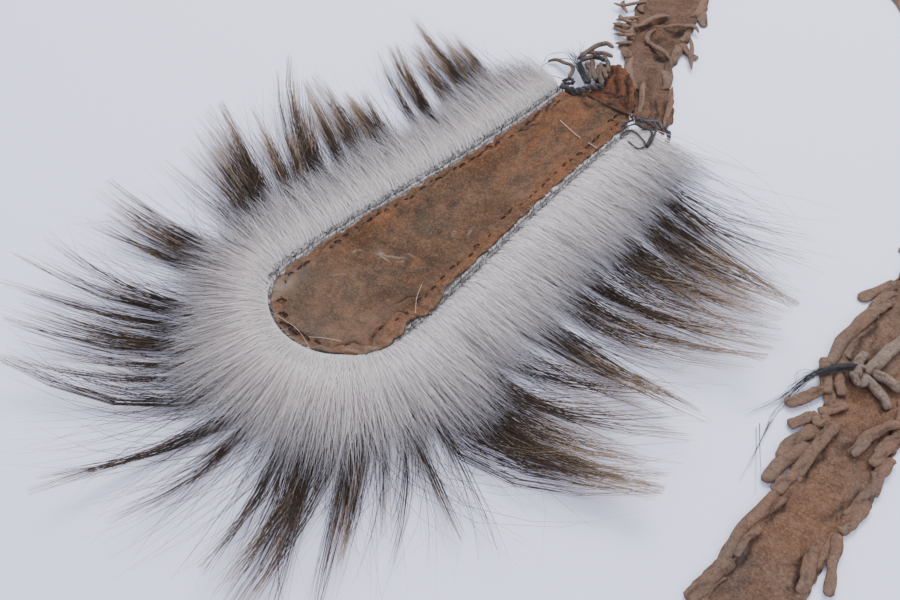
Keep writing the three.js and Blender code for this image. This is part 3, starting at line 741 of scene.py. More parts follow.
# Loose straws on the back end and nose: [thickness, points]
STRAWS = [
    (0.42, [(-9, -25, 4.4), (8, -28, 3.6), (27, -32, 7.4)]),
    (0.36, [(27, 5, 10), (36, -4, 10.4), (46, -12, 8.6)]),
    (0.3, [(23, 6, 8), (30, -1, 9.4), (39, -9, 8.8)]),
    (0.24, [(-15, -261, 6.4), (0, -260, 6.8), (13, -263, 6.2)]),
    (0.22, [(8, -260, 7), (16, -254, 7.4), (24, -249, 7)]),
    (0.24, [(27, -190, 7.4), (33, -200, 8.6), (40, -208, 8.6)]),
]


class HEADDRESS_OT_base(bpy.types.Operator):
    """The worn buckskin base, with its lips, folds and puckered corner"""
    bl_idname = "headdress.base"
    bl_label = "Leather base"

    def execute(self, context):
        hide = context.scene.headdress_hide
        down, across = BASE_GRID
        run = np.linspace(0, 1, down)
        down_y = BACK_TAB - (BASE_LENGTH + BACK_TAB) * 0.9985 * (1.5 * run - 0.5 * run ** 3)
        lane = np.sin(np.linspace(-math.pi / 2, math.pi / 2, across))
        ragged = [0.8 * ripple(down_y, 0 * run, 13, 3 + k) + 0.4 * ripple(down_y, 0 * run, 4.5, 5 + k)
                  for k in (0, 1)]
        half = half_width(down_y)[:, None] + np.where(lane[None] > 0, ragged[0][:, None], ragged[1][:, None])
        xy = np.stack([half * lane[None], np.broadcast_to(down_y[:, None], BASE_GRID)], -1)
        floor, share, reach = base_floor(xy)
        x, y = xy[..., 0], xy[..., 1]
        bulge = between(OVERHANG, share, 1) * FRONT_WIDTH * smooth(reach, -7, 0) * (x > 0)
        thickness, crease = hide_top(x, y, floor, reach, share, hide.stitch_inset)
        frill = (0.5 * ripple(x, y, 7, 13) + 0.3 * ripple(x, y, 3.5, 15)) * smooth(reach, -5, 0)
        thickness = np.maximum(0.6, thickness + frill * (1 - smooth(y, -4, 2)))
        rounding = np.sqrt(np.clip(1 - np.abs(lane) ** 18, 0, 1))[None]
        top = floor + thickness * (0.35 + 0.65 * rounding)
        xy = xy + np.stack([bulge, 0 * bulge], -1)
        marks = {"edge": np.clip(smooth(reach, -14, -1) + 0.7 * smooth(y, -120, -30), 0, 1),
                 "crease": crease, "worn": self.wear(x, y, reach)}
        finish = suede("buckskin base", hide.hide_color, hide.hide_patch, hide.stain_color, hide.grain, 60,
                       hide.rust_color)
        settle(slab("base_hide", raised(xy, floor), raised(xy, top), finish, marks),
               "base_buckskin", "base_leather")
        self.fuzz()
        return {"FINISHED"}

    def wear(self, x, y, reach):
        """Pale wear: scratches, a rubbed patch and rim at the nose, and the frayed edge."""
        pale = streaks_at(x, y, SCRATCHES)
        patch = 0.8 * np.exp(-((x + 31) / 4.5) ** 2 - ((y + 246) / 13) ** 2)
        rim = 0.55 * np.exp(-((reach + 1.2) / 1.2) ** 2) * smooth(-y, 225, 240)
        nose = patch + rim * np.clip(0.6 + 0.6 * ripple(x, y, 9, 20), 0, 1)
        fray = smooth(reach, -2.2, -0.4) * (0.35 + 0.4 * ripple(x, y, 3, 17))
        return np.clip(pale * 1.4 + nose + np.clip(fray, 0, 1) * 0.5 + 0.16 * smooth(-y, 180, 240), 0, 1)

    def fuzz(self):
        """Fibres that stand out from the cut edge, and a few loose straws on the face."""
        rng = np.random.default_rng(61)
        share = rng.uniform(0, 1, FIBRE_COUNT)
        place, out = rim_at(share)
        place = place - out * rng.uniform(0.2, 2.2, (FIBRE_COUNT, 1))
        floor, _, _ = base_floor(place)
        away = turned(out, rng.uniform(-75, 75, FIBRE_COUNT)) * rng.uniform(0.8, 3.2, (FIBRE_COUNT, 1))
        steps = np.linspace(0, 1, 4)
        flat = place[:, None] + away[:, None] * steps[None, :, None]
        level = floor[:, None] + LEATHER + 0.2 + rng.uniform(-0.4, 1.4, (FIBRE_COUNT, 1)) * steps[None]
        finish = plain_hair("hide fibre", (0.17, 0.105, 0.065))
        thick = rng.uniform(0.12, 0.24, (FIBRE_COUNT, 1)) * (1 - 0.6 * steps[None])
        tone = rng.uniform(0, 1, (FIBRE_COUNT, 1))
        settle(strands("hide_fuzz", raised(flat, level), thick, finish, 3, {"tone": tone}), "base_buckskin")
        straw = plain_hair("straw", (0.4, 0.33, 0.25))
        lines = np.stack([resampled(centripetal(points, 12), STRAW_STEPS) for _, points in STRAWS])
        thick = rows([thickness for thickness, _ in STRAWS])[:, None]
        settle(strands("loose_straws", lines, thick, straw, 5, {"tone": 0.3}), "base_buckskin")


# Rim cords
def tucked(share):
    """How far the cords hide below the leather and the hair: fully at the nose."""
    return smooth(share, 0.4, 0.47) * (1 - smooth(share, 0.56, 0.63))


class HEADDRESS_OT_cords(bpy.types.Operator):
    """Two twisted cords along the edge, with the thread that knots the hair to them"""
    bl_idname = "headdress.cords"
    bl_label = "Rim cords"

    def execute(self, context):
        finish = twisted("rim cord", (0.6, 0.575, 0.545), (0.04, 0.034, 0.033))
        cords = (("inner", INNER_CORD, 1, 0.0), ("outer", OUTER_CORD, 2, 0.3))
        for name, offset, seed, shade in cords:
            run = np.linspace(0, 1, CORD_STEPS)
            s = run * RIM_LENGTH
            place, out = rim_at(run)
            centre = place + out * (offset - 1.9 * tucked(run) + 0.35 * ripple(s, 0 * s, 14, seed))[:, None]
            lines, tones = [], []
            plies = ((0.5, shade), (0.5, 0.3 + shade), (0.9, 0.95))
            for ply, (radius, tone) in enumerate(plies):
                turn = s / 6.4 * 2 * math.pi + ply * math.pi + 0.4 * ripple(s, 0 * s, 20, seed + ply)
                flat = centre + out * (radius * np.cos(turn))[:, None]
                level = CORD_LEVEL + radius * np.sin(turn) + 0.12 * ripple(s, 0 * s, 11, seed + 5)
                lines.append(raised(flat, level))
                dirt = 0.3 * ripple(s, 0 * s, 9, seed + 8 + ply)
                # Painted shade: the cords darker where they tuck under the leather and the hair.
                tones.append(np.clip(tone + dirt + 0.3 * tucked(run), 0, 1))
            thick = rows([[1.15], [1.1], [0.6]])
            node = "rim_cord_" + name
            marks = {"tone": np.stack(tones)}
            settle(strands(node + "_twist", np.stack(lines), thick, finish, 5, marks), "rim_cord", node)
        self.knots(finish)
        return {"FINISHED"}

    def knots(self, finish):
        """Dark thread ends that stand among the roots of the hair, and stray over the cords."""
        rng = np.random.default_rng(31)
        count = int(RIM_LENGTH / KNOT_SPACING)
        share = (np.arange(count) + rng.uniform(-0.5, 0.5, count)) / count
        place, out = rim_at(share)
        steps = np.linspace(0, 1, 4)
        start = OUTER_CORD + rng.normal(0.6, 0.5, (count, 1)) - 3.2 * (rng.uniform(0, 1, (count, 1)) < 0.16)
        start = start - 1.9 * tucked(share)[:, None]
        heading = turned(out, rng.normal(0, 38, count))
        length = rng.uniform(0.9, 3.4, (count, 1))
        flat = place[:, None] + out[:, None] * start[..., None]
        flat = flat + heading[:, None] * (length * steps[None])[..., None]
        level = CORD_LEVEL + 1.0 + rng.uniform(-0.3, 0.5, (count, 1))
        level = level + steps[None] * rng.normal(0.1, 0.6, (count, 1))
        thick = rng.uniform(0.2, 0.55, (count, 1)) * (1 - 0.6 * steps[None])
        tone = rng.uniform(0.55, 1, (count, 1))
        settle(strands("hair_knots", raised(flat, level), thick, finish, 3, {"tone": tone}), "rim_cord")


# White hair: [share of the rim, sweep, reach as a share of WHITE_LENGTH]
WHITE_LIE = [
    (0, -6, 0.74), (0.25, -8, 0.76), (0.38, -10, 0.78), (0.46, -6, 0.92), (0.52, 4, 1.12),
    (0.58, -6, 1.2), (0.65, -10, 1.07), (0.78, -6, 0.95), (1, -2, 0.9),
]
# [share of the reach, depth as a share of WHITE_DEPTH]
WHITE_BODY = [(0, 0.16), (0.1, 0.24), (0.3, 1), (0.62, 0.8), (1, 0.3)]


def hair_plan(share, reach, sweep, bow, steps):
    """Flat lines of hairs that leave the band, lean by sweep and bow to one side."""
    place, out = rim_at(share)
    root = place + out * (BAND_WIDTH / 4 - 2 * tucked(share))[:, None]
    chord = turned(out, sweep) * np.asarray(reach)[:, None]
    middle = root + chord / 2 + turned(chord, np.full(len(chord), 90.0)) * 2 * np.asarray(bow)[:, None]
    t = steps[None, :, None]
    return (1 - t) ** 2 * root[:, None] + 2 * t * (1 - t) * middle[:, None] + t ** 2 * (root + chord)[:, None]


class HEADDRESS_OT_white_hair(bpy.types.Operator):
    """The white row: a soft body with thousands of stiff hairs over it"""
    bl_idname = "headdress.white_hair"
    bl_label = "White hair"

    def execute(self, context):
        hair = context.scene.headdress_hair
        finish = hair_white(hair)
        self.body(finish)
        lengths = (("far", 0.0, 0.4, 1), ("nose", 0.4, 0.63, 2), ("near", 0.63, 1.0, 3))
        for name, start, end, seed in lengths:
            rng = np.random.default_rng(hair.seed + seed)
            count = hair.white_count
            share = start + (end - start) * (np.arange(count) + rng.uniform(-2, 2, count)) / count
            share = np.clip(share, 0.001, 0.999)
            s = share * RIM_LENGTH
            clump = ripple(s, 0 * s, 3.2, 40) * 2.8 + ripple(s, 0 * s, 15, 41) * 4.4
            layer = rng.uniform(0, 1, count)
            cut = np.where(rng.uniform(0, 1, count) < 0.6, rng.uniform(0.34, 0.8, count),
                           rng.uniform(0.74, 1.1, count))
            reach = WHITE_LENGTH * between(WHITE_LIE, share, 2) * cut * (1 + 0.07 * ripple(s, 0 * s, 8, 42))
            sweep = between(WHITE_LIE, share, 1) + clump + rng.normal(0, 6.4, count)
            steps = np.array([0, 0.28, 0.62, 1.0])
            flat = hair_plan(share, reach, sweep, rng.normal(0, 0.035, count), steps)
            flat = flat + rng.normal(0, 0.6, flat.shape) * np.array([0, 0.6, 1, 1.3])[None, :, None]
            depth = WHITE_DEPTH * between(WHITE_BODY, steps, 1)
            low = parting_level(flat) + CLEARANCE / 2 + HAIR_GAP
            scatter = rng.normal(0.2, 1, (count, 1)) * 2.4 * steps[None] ** 2
            level = np.maximum(low + depth[None] * (0.15 + 0.95 * layer[:, None]) + scatter, low * 0.8)
            level = level + 3.2 * tucked(share)[:, None] * (1 - steps[None]) ** 3
            taper = np.array([1, 1, 0.85, 0.2])[None]
            thick = hair.white_thickness * rng.uniform(0.7, 1.25, (count, 1)) * taper
            tone = rng.uniform(0, 1, (count, 1)) ** (0.5 if name == "nose" else 0.75)
            marks = {"tone": tone, "along": cut[:, None] * steps[None]}
            piece = strands("white_hair_" + name, raised(flat, level), thick, finish, 3, marks)
            settle(piece, "white_hair", "white_hair_row")
        return {"FINISHED"}

    def body(self, finish):
        """The underfur that closes the row below its hairs."""
        lanes = np.linspace(0, 1, UNDERFUR_ROWS)
        s = lanes * RIM_LENGTH
        ridge = 0.5 + 0.5 * np.sin(s / 5 * 2 * math.pi + 3 * ripple(s, 0 * s, 30, 5))
        length = between(WHITE_LIE, lanes, 2) * (0.5 + 0.16 * ridge)
        steps = np.array([0, 0.12, 0.3, 0.6, 0.85, 1.0])
        flat = hair_plan(lanes, WHITE_LENGTH * length, between(WHITE_LIE, lanes, 1), 0 * lanes, steps)
        place, out = rim_at(lanes)
        inner = place - out * BAND_WIDTH / 2
        low = parting_level(flat) + CLEARANCE / 2 + HAIR_GAP
        depth = WHITE_DEPTH * between(WHITE_BODY, steps, 1)[None] * (0.42 + 0.14 * ridge[:, None])
        depth[:, -1] = 0.4
        band = raised(inner, np.full(UNDERFUR_ROWS, WHITE_FLOOR))
        under = np.concatenate([band[:, None], raised(flat, low)], 1)
        top = under.copy()
        top[:, 0, 2] += HAIR_BAND
        top[:, 1:, 2] += depth
        along = np.broadcast_to(0.6 * np.r_[0, steps][None], under.shape[:2])
        # Painted shade: greyer in the grooves between the underfur's ridges.
        tone = np.broadcast_to((0.15 + 0.3 * ridge)[:, None], under.shape[:2])
        piece = slab("white_hair_body", under, top, finish, {"along": along, "tone": tone})
        settle(piece, "white_hair", "white_hair_row")


# Dark tufts: [share of the rim, reach as a share of GUARD_LENGTH, sweep, bow, share of TUFT_BREADTH]
TUFTS = [
    (0.085, 0.58, -20, -0.03, 1), (0.125, 0.73, -19, -0.07, 1.5), (0.16, 0.68, -17, 0.03, 1.5),
    (0.225, 0.58, -10, -0.03, 0.6), (0.275, 0.63, -23, -0.04, 1.1), (0.3, 0.75, -21, -0.04, 0.9),
    (0.31, 0.79, -20, 0.08, 1), (0.355, 0.68, -23, 0.01, 0.8), (0.395, 0.76, -24, -0.05, 1.2),
    (0.41, 0.76, -34, -0.05, 1.5), (0.44, 0.76, -56, -0.08, 0.7), (0.42, 0.64, -9, 0.02, 0.6),
    (0.445, 0.77, -29, -0.03, 0.9), (0.47, 0.89, -41, 0.01, 0.7), (0.495, 0.91, -49, 0.01, 1),
    (0.525, 0.96, -71, 0.05, 0.7), (0.545, 1.06, -82, 0.04, 0.6), (0.54, 1, -71, 0.04, 0.9),
    (0.535, 0.98, -66, 0.11, 0.6), (0.55, 0.98, -51, 0.02, 0.7), (0.515, 0.92, 0, 0.08, 0.7),
    (0.53, 0.87, 3, 0.05, 0.6), (0.51, 1.01, 29, 0.1, 1.5), (0.535, 0.96, 11, 0.05, 1.1),
    (0.585, 1, -48, 0.02, 0.9), (0.585, 0.94, -35, 0.01, 0.6), (0.585, 0.84, -29, 0.01, 0.9),
    (0.595, 0.8, -36, 0.03, 0.6), (0.6, 0.79, -25, 0.01, 0.6), (0.618, 1.03, 2, -0.18, 1.3),
    (0.63, 1, 1, -0.09, 1.5), (0.69, 1, -11, -0.18, 0.8), (0.645, 0.95, 12, -0.08, 0.9),
    (0.706, 0.94, -3, -0.01, 1.9), (0.815, 0.95, -9, -0.15, 0.7), (0.805, 0.99, -1, -0.08, 1.1),
    (0.862, 0.97, -9, -0.09, 1.5), (0.933, 1.04, -16, -0.12, 0.7), (0.92, 1.01, -11, -0.05, 1.3),
    (0.932, 0.99, -13, 0, 0.9), (0.95, 0.92, -12, 0.02, 0.8), (0.99, 0.9, -6, -0.09, 0.1),
]


# How the tufts of each length are made: fullness, breadth, how close the hairs of a lock keep, how far the
# locks close up towards their tips (less than 0) or open, and how far their roots wander
TUFT_MAKE = {
    "far": (2.0, 1.45, 0, 0.2, 0.002),
    "nose": (0.86, 0.75, 0.2, -0.5, 0.0005),
    "near": (1.2, 1.45, 0.22, -0.8, 0.0007),
}
# The longest reach of a guard hair, as a share of GUARD_LENGTH
REACH_SHARE = 1.11

# How far hair may stand past the solid model's box: a share of each side, and millimetres beyond it
ROOM_SHARE, ROOM = 0.03, 8
cad_low, cad_high = np.array(cad_box[0])[:2], np.array(cad_box[1])[:2]
HAIR_ROOM = ROOM_SHARE * (cad_high - cad_low) / MM + ROOM
HAIR_LOW = (cad_low - ORIGIN[:2]) / MM - HAIR_ROOM
HAIR_HIGH = (cad_high - ORIGIN[:2]) / MM + HAIR_ROOM


def guard_hairs(rng, plans, offsets, name, hair, finish, fine, closing):
    """Guard hairs by share, reach, sweep and bow, each set across its tuft and lock and drawn in to a tip."""
    share, reach, sweep, bow = plans
    centre, own, gather = offsets
    count = len(share)
    steps = np.array([0, 0.24, 0.45, 0.64, 0.83, 1.0])
    flat = hair_plan(share, reach, sweep, bow, steps)
    ahead = unit(np.gradient(flat, axis=1))
    side = np.stack([-ahead[..., 1], ahead[..., 0]], -1)
    across = centre[:, None] * (1 + closing * steps[None] ** 1.3)
    across = across + own[:, None] * (1 - gather[:, None] * steps[None] ** 1.4)
    flat = np.clip(flat + side * across[..., None], HAIR_LOW, HAIR_HIGH)
    top = parting_level(flat) - CLEARANCE / 2 - HAIR_GAP
    depth = np.minimum(GUARD_DEPTH * np.interp(steps, [0, 0.5, 0.8, 1], [0.3, 1, 0.8, 0.3])[None], top)
    level = top - depth * rng.uniform(0.05, 0.95, (count, 1))
    level = level + np.clip(steps - 0.45, 0, None)[None] ** 1.5 * rng.normal(0, 4, (count, 1))
    level = np.maximum(level, 0.35)
    taper = np.array([0.7, 0.9, 1.0, 0.95, 0.75, 0.34])
    thick = fine * hair.guard_thickness * rng.uniform(0.65, 1.25, (count, 1)) * taper[None]
    tone = np.clip(0.75 * rng.uniform(0, 1, count) + 0.3 * np.sin(9 * centre + 80 * share), 0, 1)[:, None]
    longer = 0.94 if name.endswith("nose") else 1.02
    along = np.clip(steps[None] * longer + rng.normal(0, 0.045, (count, 1)) * (steps[None] > 0), 0, 1)
    piece = strands(name, raised(flat, level), thick, finish, 3, {"tone": tone, "along": along})
    settle(piece, "dark_hair", "dark_hair_row")


class HEADDRESS_OT_dark_hair(bpy.types.Operator):
    """The dark row: guard hair in gathered locks, with loose hairs between them"""
    bl_idname = "headdress.dark_hair"
    bl_label = "Dark guard hair"

    def execute(self, context):
        hair = context.scene.headdress_hair
        finish = hair_dark(hair)
        lengths = (("far", 0, 0.43, 20), ("nose", 0.43, 0.61, 21), ("near", 0.61, 1.01, 22))
        for name, start, end, seed in lengths:
            rng = np.random.default_rng(hair.seed + seed)
            chosen = [row for row in TUFTS if start <= row[0] < end]
            self.tufts(rng, rows(chosen), name, hair, finish)
        rng = np.random.default_rng(hair.seed + 30)
        table = rows(TUFTS)[rng.integers(0, len(TUFTS), hair.loose_count)]
        count = len(table)
        plans = (np.clip(table[:, 0] + rng.normal(0, 0.02, count), 0, 1),
                 GUARD_LENGTH * np.minimum(REACH_SHARE, table[:, 1] * rng.uniform(0.6, 1.12, count)),
                 table[:, 2] + rng.normal(0, 9, count), table[:, 3] + rng.normal(0, 0.09, count))
        offsets = (rng.normal(0, 7, count), np.zeros(count), np.zeros(count))
        guard_hairs(rng, plans, offsets, "guard_hair_loose", hair, finish, 0.62, 0.1)
        return {"FINISHED"}

    def tufts(self, rng, table, name, hair, finish):
        """The locks of every tuft along one length of the rim."""
        fullness, breadth_share, together, closing, wander = TUFT_MAKE[name]
        lock_share = 3.6 if name == "near" else 2.2
        columns = []
        for share, reach, sweep, bow, breadth in table:
            locks = max(2, int(round(lock_share * breadth + 0.4)))
            half = breadth * TUFT_BREADTH / 2 * breadth_share
            full = fullness * hair.guard_count * (0.3 + 0.7 * breadth) / locks
            for index in range(locks):
                side = (index + rng.uniform(0.3, 0.7)) / locks * 2 - 1
                count = int(full * rng.uniform(0.5, 1.35))
                stray = rng.uniform(0, 1, count) < 0.1
                own = rng.normal(0, 1, 3) * [0.07, 2.2, 0.03]
                at = np.clip(share + rng.normal(0, wander, count), 0, 1)
                length = reach * (1 + own[0]) * (1.1 - 0.42 * rng.uniform(0, 1, count) ** 2.2)
                columns.append(np.stack([
                    at,
                    GUARD_LENGTH * np.minimum(REACH_SHARE, length),
                    sweep + own[1] + rng.normal(0, 1, count) * np.where(stray, 5, 0.4),
                    bow + own[2] + rng.normal(0, 1, count) * np.where(stray, 0.05, 0.008),
                    np.full(count, side * half),
                    rng.normal(0, 0.68, count),
                    np.where(stray, -1, rng.uniform(0.45, 0.95, count) + together),
                ]))
        table = np.concatenate(columns, axis=1)
        guard_hairs(rng, table[:4], table[4:], "guard_hair_" + name, hair, finish, 1.0, closing)


# Strap: chosen points of its middle line on the surface, as shares of BASE_LENGTH
TAIL_POINTS = [
    (0.15, 0.051), (0.069, 0.14), (-0.019, 0.248), (-0.079, 0.368), (-0.128, 0.489), (-0.169, 0.62),
    (-0.15, 0.808), (-0.03, 0.962), (0.188, 1.053), (0.47, 1.008), (0.707, 0.835), (0.842, 0.583),
    (0.895, 0.301), (0.902, 0.038), (0.906, -0.15), (0.925, -0.263), (0.966, -0.376), (0.985, -0.489),
    (0.992, -0.62), (1.004, -0.752), (1.023, -0.883), (1.041, -0.985),
]
# [share of the route, width as a share of STRAP_WIDTH]
STRAP_CUT = [
    (0, 0.6), (0.03, 0.66), (0.065, 0.78), (0.09, 0.95), (0.13, 1.1), (0.3, 1), (0.6, 1), (0.76, 1.08),
    (0.804, 1), (0.836, 0.95), (0.876, 0.88), (0.901, 0.86), (0.932, 1), (0.973, 1.05), (1, 0.95),
]
TAIL = Route(centripetal(rows(TAIL_POINTS) * BASE_LENGTH, 60))
TAIL_LENGTH = TAIL.length


def strap_half(share):
    """Half the strap's width at a share of its route."""
    return STRAP_WIDTH / 2 * between(STRAP_CUT, share, 1)


# Fringe that shows: [share of the route, place across the half width, splay, share of FRINGE_LENGTH, heading]
SEEN_FRINGE = [
    (0.071, -0.85, 20, 0.5, 1), (0.096, 0.9, 40, 0.5, -1), (0.112, -0.85, 50, 0.5, -1),
    (0.14, -0.9, 35, 0.7, 1), (0.148, 0.9, 20, 0.7, -1),
]
FRINGE_FROM, FRINGE_TO, FRINGE_PITCH = 0.165, 0.745, 52

# Curled lips, pleats, torn strips and rolled fringe that show: [diameter, points], in the base's own frame
LIPS = [
    (4.2, [(-36, 88, 4.5), (-33, 94, 5.5), (-32, 101, 6), (-29, 110, 6), (-24, 116, 5)]),
    (3.8, [(-20, 102, 5), (-16, 106, 6), (-11, 112, 6), (-5, 117, 5), (1, 115, 4)]),
    (3.8, [(-24, 97, 5), (-23, 89, 5.5), (-19, 82, 5.5), (-12, 79, 5.5), (-4, 79, 5.5), (4, 77, 4.5),
           (9, 73, 3)]),
    (3.2, [(-1, 107, 5), (7, 99, 4.5), (14, 88, 4), (21, 79, 3)]),
    (2.8, [(1, 97, 4), (6, 93, 4), (11, 89, 3.4)]),
    (3.8, [(3, 48, 2.2), (10, 38, 3.4), (18, 26, 3.6), (25, 14, 2.6)]),
    (3.4, [(22, 56, 2), (30, 42, 3), (37, 30, 3), (44, 17, 2)]),
    (3.4, [(-65, 102, 4), (-58, 103, 5), (-53, 110, 5), (-49, 120, 4)]),
    (3.2, [(-62, 111, 3), (-57, 103, 4), (-50, 99, 4)]),
    (3.4, [(-51, 83, 3), (-45, 84, 4.5), (-38, 86, 5)]),
    (3.4, [(-54, 95, 3), (-48, 90, 4.5), (-40, 92, 5)]),
    (3.2, [(-52, 88, 3), (-46, 93, 4.6), (-40, 100, 5)]),
    (3.6, [(-43, 75, 2.5), (-37, 76, 4), (-30, 82, 4.5)]),
    (3.4, [(-36, 67, 2.5), (-31, 69, 3.6), (-27, 75, 4)]),
    (3.2, [(-47, 79, 3), (-40, 79, 4.4), (-33, 81, 5)]),
]
# Rolled fringe and curled edges of the length beside the hair
SIDE_FRINGE = [
    (6.0, [(223, -13, 3), (223, -24, 3.4), (221, -34, 3.4)]),
    (7.5, [(221, -25, 3.4), (220, -45, 3.8), (221, -64, 3.8), (223, -78, 3.2)]),
    (6.0, [(229, -77, 4.6), (234, -84, 4.8), (239, -90, 4.2)]),
    (7.5, [(219, -74, 3.4), (226, -85, 3.8), (232, -94, 3.4)]),
    (6.5, [(229, -92, 3.4), (225, -104, 3), (220, -114, 2.6)]),
    (6.0, [(236, -108, 3), (232, -117, 2.8), (228, -124, 2.4)]),
    (6.4, [(246, -107, 4.4), (246, -118, 4.8), (247, -131, 4.8), (247, -148, 4.2)]),
    (7.5, [(240, -116, 3.4), (236, -131, 3), (235, -145, 2.4)]),
    (8.0, [(242, -128, 3.6), (239, -145, 3), (237, -161, 2.6)]),
    (7.0, [(247, -143, 3.6), (246, -152, 3.4), (245, -163, 2.8)]),
    (6.4, [(269, -85, 4.6), (265, -94, 4.8), (262, -106, 4.8), (262, -119, 4.2)]),
    (6.6, [(273, -93, 3.8), (272, -104, 4), (272, -117, 3.6)]),
    (6.0, [(278, -106, 3.4), (278, -119, 3.4), (281, -132, 3)]),
    (7.2, [(280, -136, 3.2), (281, -149, 2.8), (280, -160, 2.6)]),
    (6.0, [(280, -162, 3.4), (287, -178, 3.4), (293, -193, 3.2)]),
    (6.4, [(246, -163, 3.6), (246, -180, 3.8), (246, -197, 3.8), (249, -217, 3.2)]),
    (4.6, [(251, -185, 3.8), (250, -195, 4), (250, -206, 3.6)]),
    (8.0, [(250, -208, 3.4), (249, -221, 3.4), (247, -239, 3)]),
    (5.0, [(244, -93, 4), (240, -101, 4.2), (235, -107, 3.6)]),
    (6.5, [(275, -176, 3.6), (280, -189, 4), (284, -201, 3.6)]),
    (5.0, [(239, -107, 4.4), (242, -111, 5), (239, -114, 4.6), (236, -111, 4.4)]),
]
# Shadowed hollows of the strap: [x, y, heading, half length, half width, strength]
HOLLOWS = [
    (-27, 100, 76, 13, 3.4, 1), (-2, 74, 170, 8, 3.2, 1), (-9, 106, 45, 8, 3.2, 1),
    (8, 31, 128, 14, 2.0, 1), (28, 30, 124, 12, 1.6, 1), (33, 33, 120, 10, 1.6, 0.95),
    (-38, 84, 100, 12, 3.0, 0.95), (-16, 92, 60, 8, 3.2, 0.8),
    (-42, 92, 70, 8, 3.4, 0.9), (6, 92, 120, 9, 2.6, 0.9), (40, 32, 125, 12, 1.5, 0.8),
    (277, -187, 112, 6, 1.8, 1), (280, -198, 95, 6, 1.6, 1), (254, -200, 92, 12, 1.6, 0.9),
    (252, -170, 92, 10, 1.4, 0.8), (273, -150, 80, 12, 1.4, 0.8), (251, -135, 92, 14, 1.6, 0.9),
    (227, -40, 92, 18, 1.6, 0.9), (259, -108, 80, 12, 1.4, 0.8), (275, -108, 90, 14, 1.4, 0.9),
    (235, -98, 120, 10, 2.0, 1), (243, -100, 60, 6, 1.8, 0.9), (239, -140, 92, 14, 1.3, 0.8),
    (284, -140, 88, 12, 1.3, 0.8), (283, -174, 100, 14, 1.4, 0.8),
]


def wobble(n):
    return np.sin(12.9898 * n + 4.1) * np.cos(7.31 * n)


def plain_fringe():
    count = round((FRINGE_TO - FRINGE_FROM) * TAIL_LENGTH / FRINGE_PITCH)
    i = np.arange(2 * count)
    share = FRINGE_FROM + (FRINGE_TO - FRINGE_FROM) * (i + 0.5) / (2 * count)
    place = np.where(i % 2, 0.9, -0.9)
    return np.stack([share, place, 26 + 14 * wobble(i), 0.8 + 0.2 * wobble(i + 0.3), 0 * share + 1], -1)


def rolled_strips(name, centres, across, breadth, height, floor, seam, finish):
    """Rolled strips of leather: arrays of strip by step, with a line of painted shade along the seam where
    each roll closes, painted shade on the underside and a painted highlight on top.
    """
    count, steps = breadth.shape
    turn = np.linspace(0, 2 * math.pi, ROLL_SIDES, endpoint=False)
    index = np.arange(count)[:, None, None]
    s = np.linspace(0, 1, steps)[None, :, None]
    roll = 1 + 0.09 * np.cos(2 * turn + index + 2 * s) + 0.06 * np.cos(3 * turn + 2 * index - 3 * s)
    close = np.ones((1, steps, 1))
    close[:, [0, -1]] = 0.55
    off = breadth[..., None] * close * np.cos(turn) * roll
    up = floor[..., None] + height[..., None] * (1 + close * np.sin(turn) * roll)
    flat = centres[:, :, None] + across[:, :, None] * off[..., None]
    points = np.concatenate([flat, np.maximum(up, 0.05)[..., None]], -1).reshape(-1, 3)
    ring = tube_faces(steps, ROLL_SIDES)
    faces = [[k + i * ROLL_SIDES * steps for k in face] for i in range(count) for face in ring]
    # Painted shade: a dark line, broken here and there, along the seam where each roll closes.
    seam_shade = np.exp(-((turn - 1.3 - seam[..., None] - 0.5 * np.sin(5 * s + index)) / 0.22) ** 2)
    # Painted shade on the underside of each roll.
    under = 0.85 * np.clip(-np.sin(turn) - 0.2, 0, 1) + 0 * off
    broken = np.clip(0.45 + 0.5 * np.sin(9 * s + 3 * index), 0, 0.7)
    marks = {"crease": np.maximum(broken * seam_shade, under),
             # Painted highlight: the top of each roll paler; the strip also paler towards its end.
             "worn": 0.2 * np.clip(np.sin(turn), 0, 1) + 0.3 * s ** 3 + 0 * off}
    return mesh_piece(name, points, faces, finish, marks)


def leather_runs(name, runs, finish, seed, tip=0.7, flat=0.8):
    """Rolled leather along chosen runs of [diameter, points, ...], thinned to tip and flattened by flat."""
    lines = np.stack([resampled(centripetal(run[1], 24), RUN_STEPS) for run in runs])
    ahead = unit(np.gradient(lines[..., :2], axis=1))
    across = np.stack([-ahead[..., 1], ahead[..., 0]], -1)
    step = np.linspace(0, 60, RUN_STEPS)[None] + 50 * np.arange(len(runs))[:, None]
    size = rows([run[0] for run in runs])[:, None] / 2
    wear = 1 + 0.1 * ripple(step, 0 * step, 22, seed) + 0.035 * ripple(step, 0 * step, 6, seed + 1)
    lines[..., :2] += across * (0.4 * ripple(step, 0 * step, 30, seed + 2))[..., None]
    ends = np.interp(np.linspace(0, 1, RUN_STEPS), [0, 0.3 - 0.2 * tip, 0.7 + 0.2 * tip, 1], [tip, 1, 1, tip])
    breadth = size * wear * ends
    height = flat * size * (2 - wear) * ends
    floor = np.maximum(lines[..., 2] - height, 0.05)
    seam = 0.8 * ripple(step, 0 * step, 40, seed + 3)
    return rolled_strips(name, lines[..., :2], across, breadth, height, floor, seam, finish)


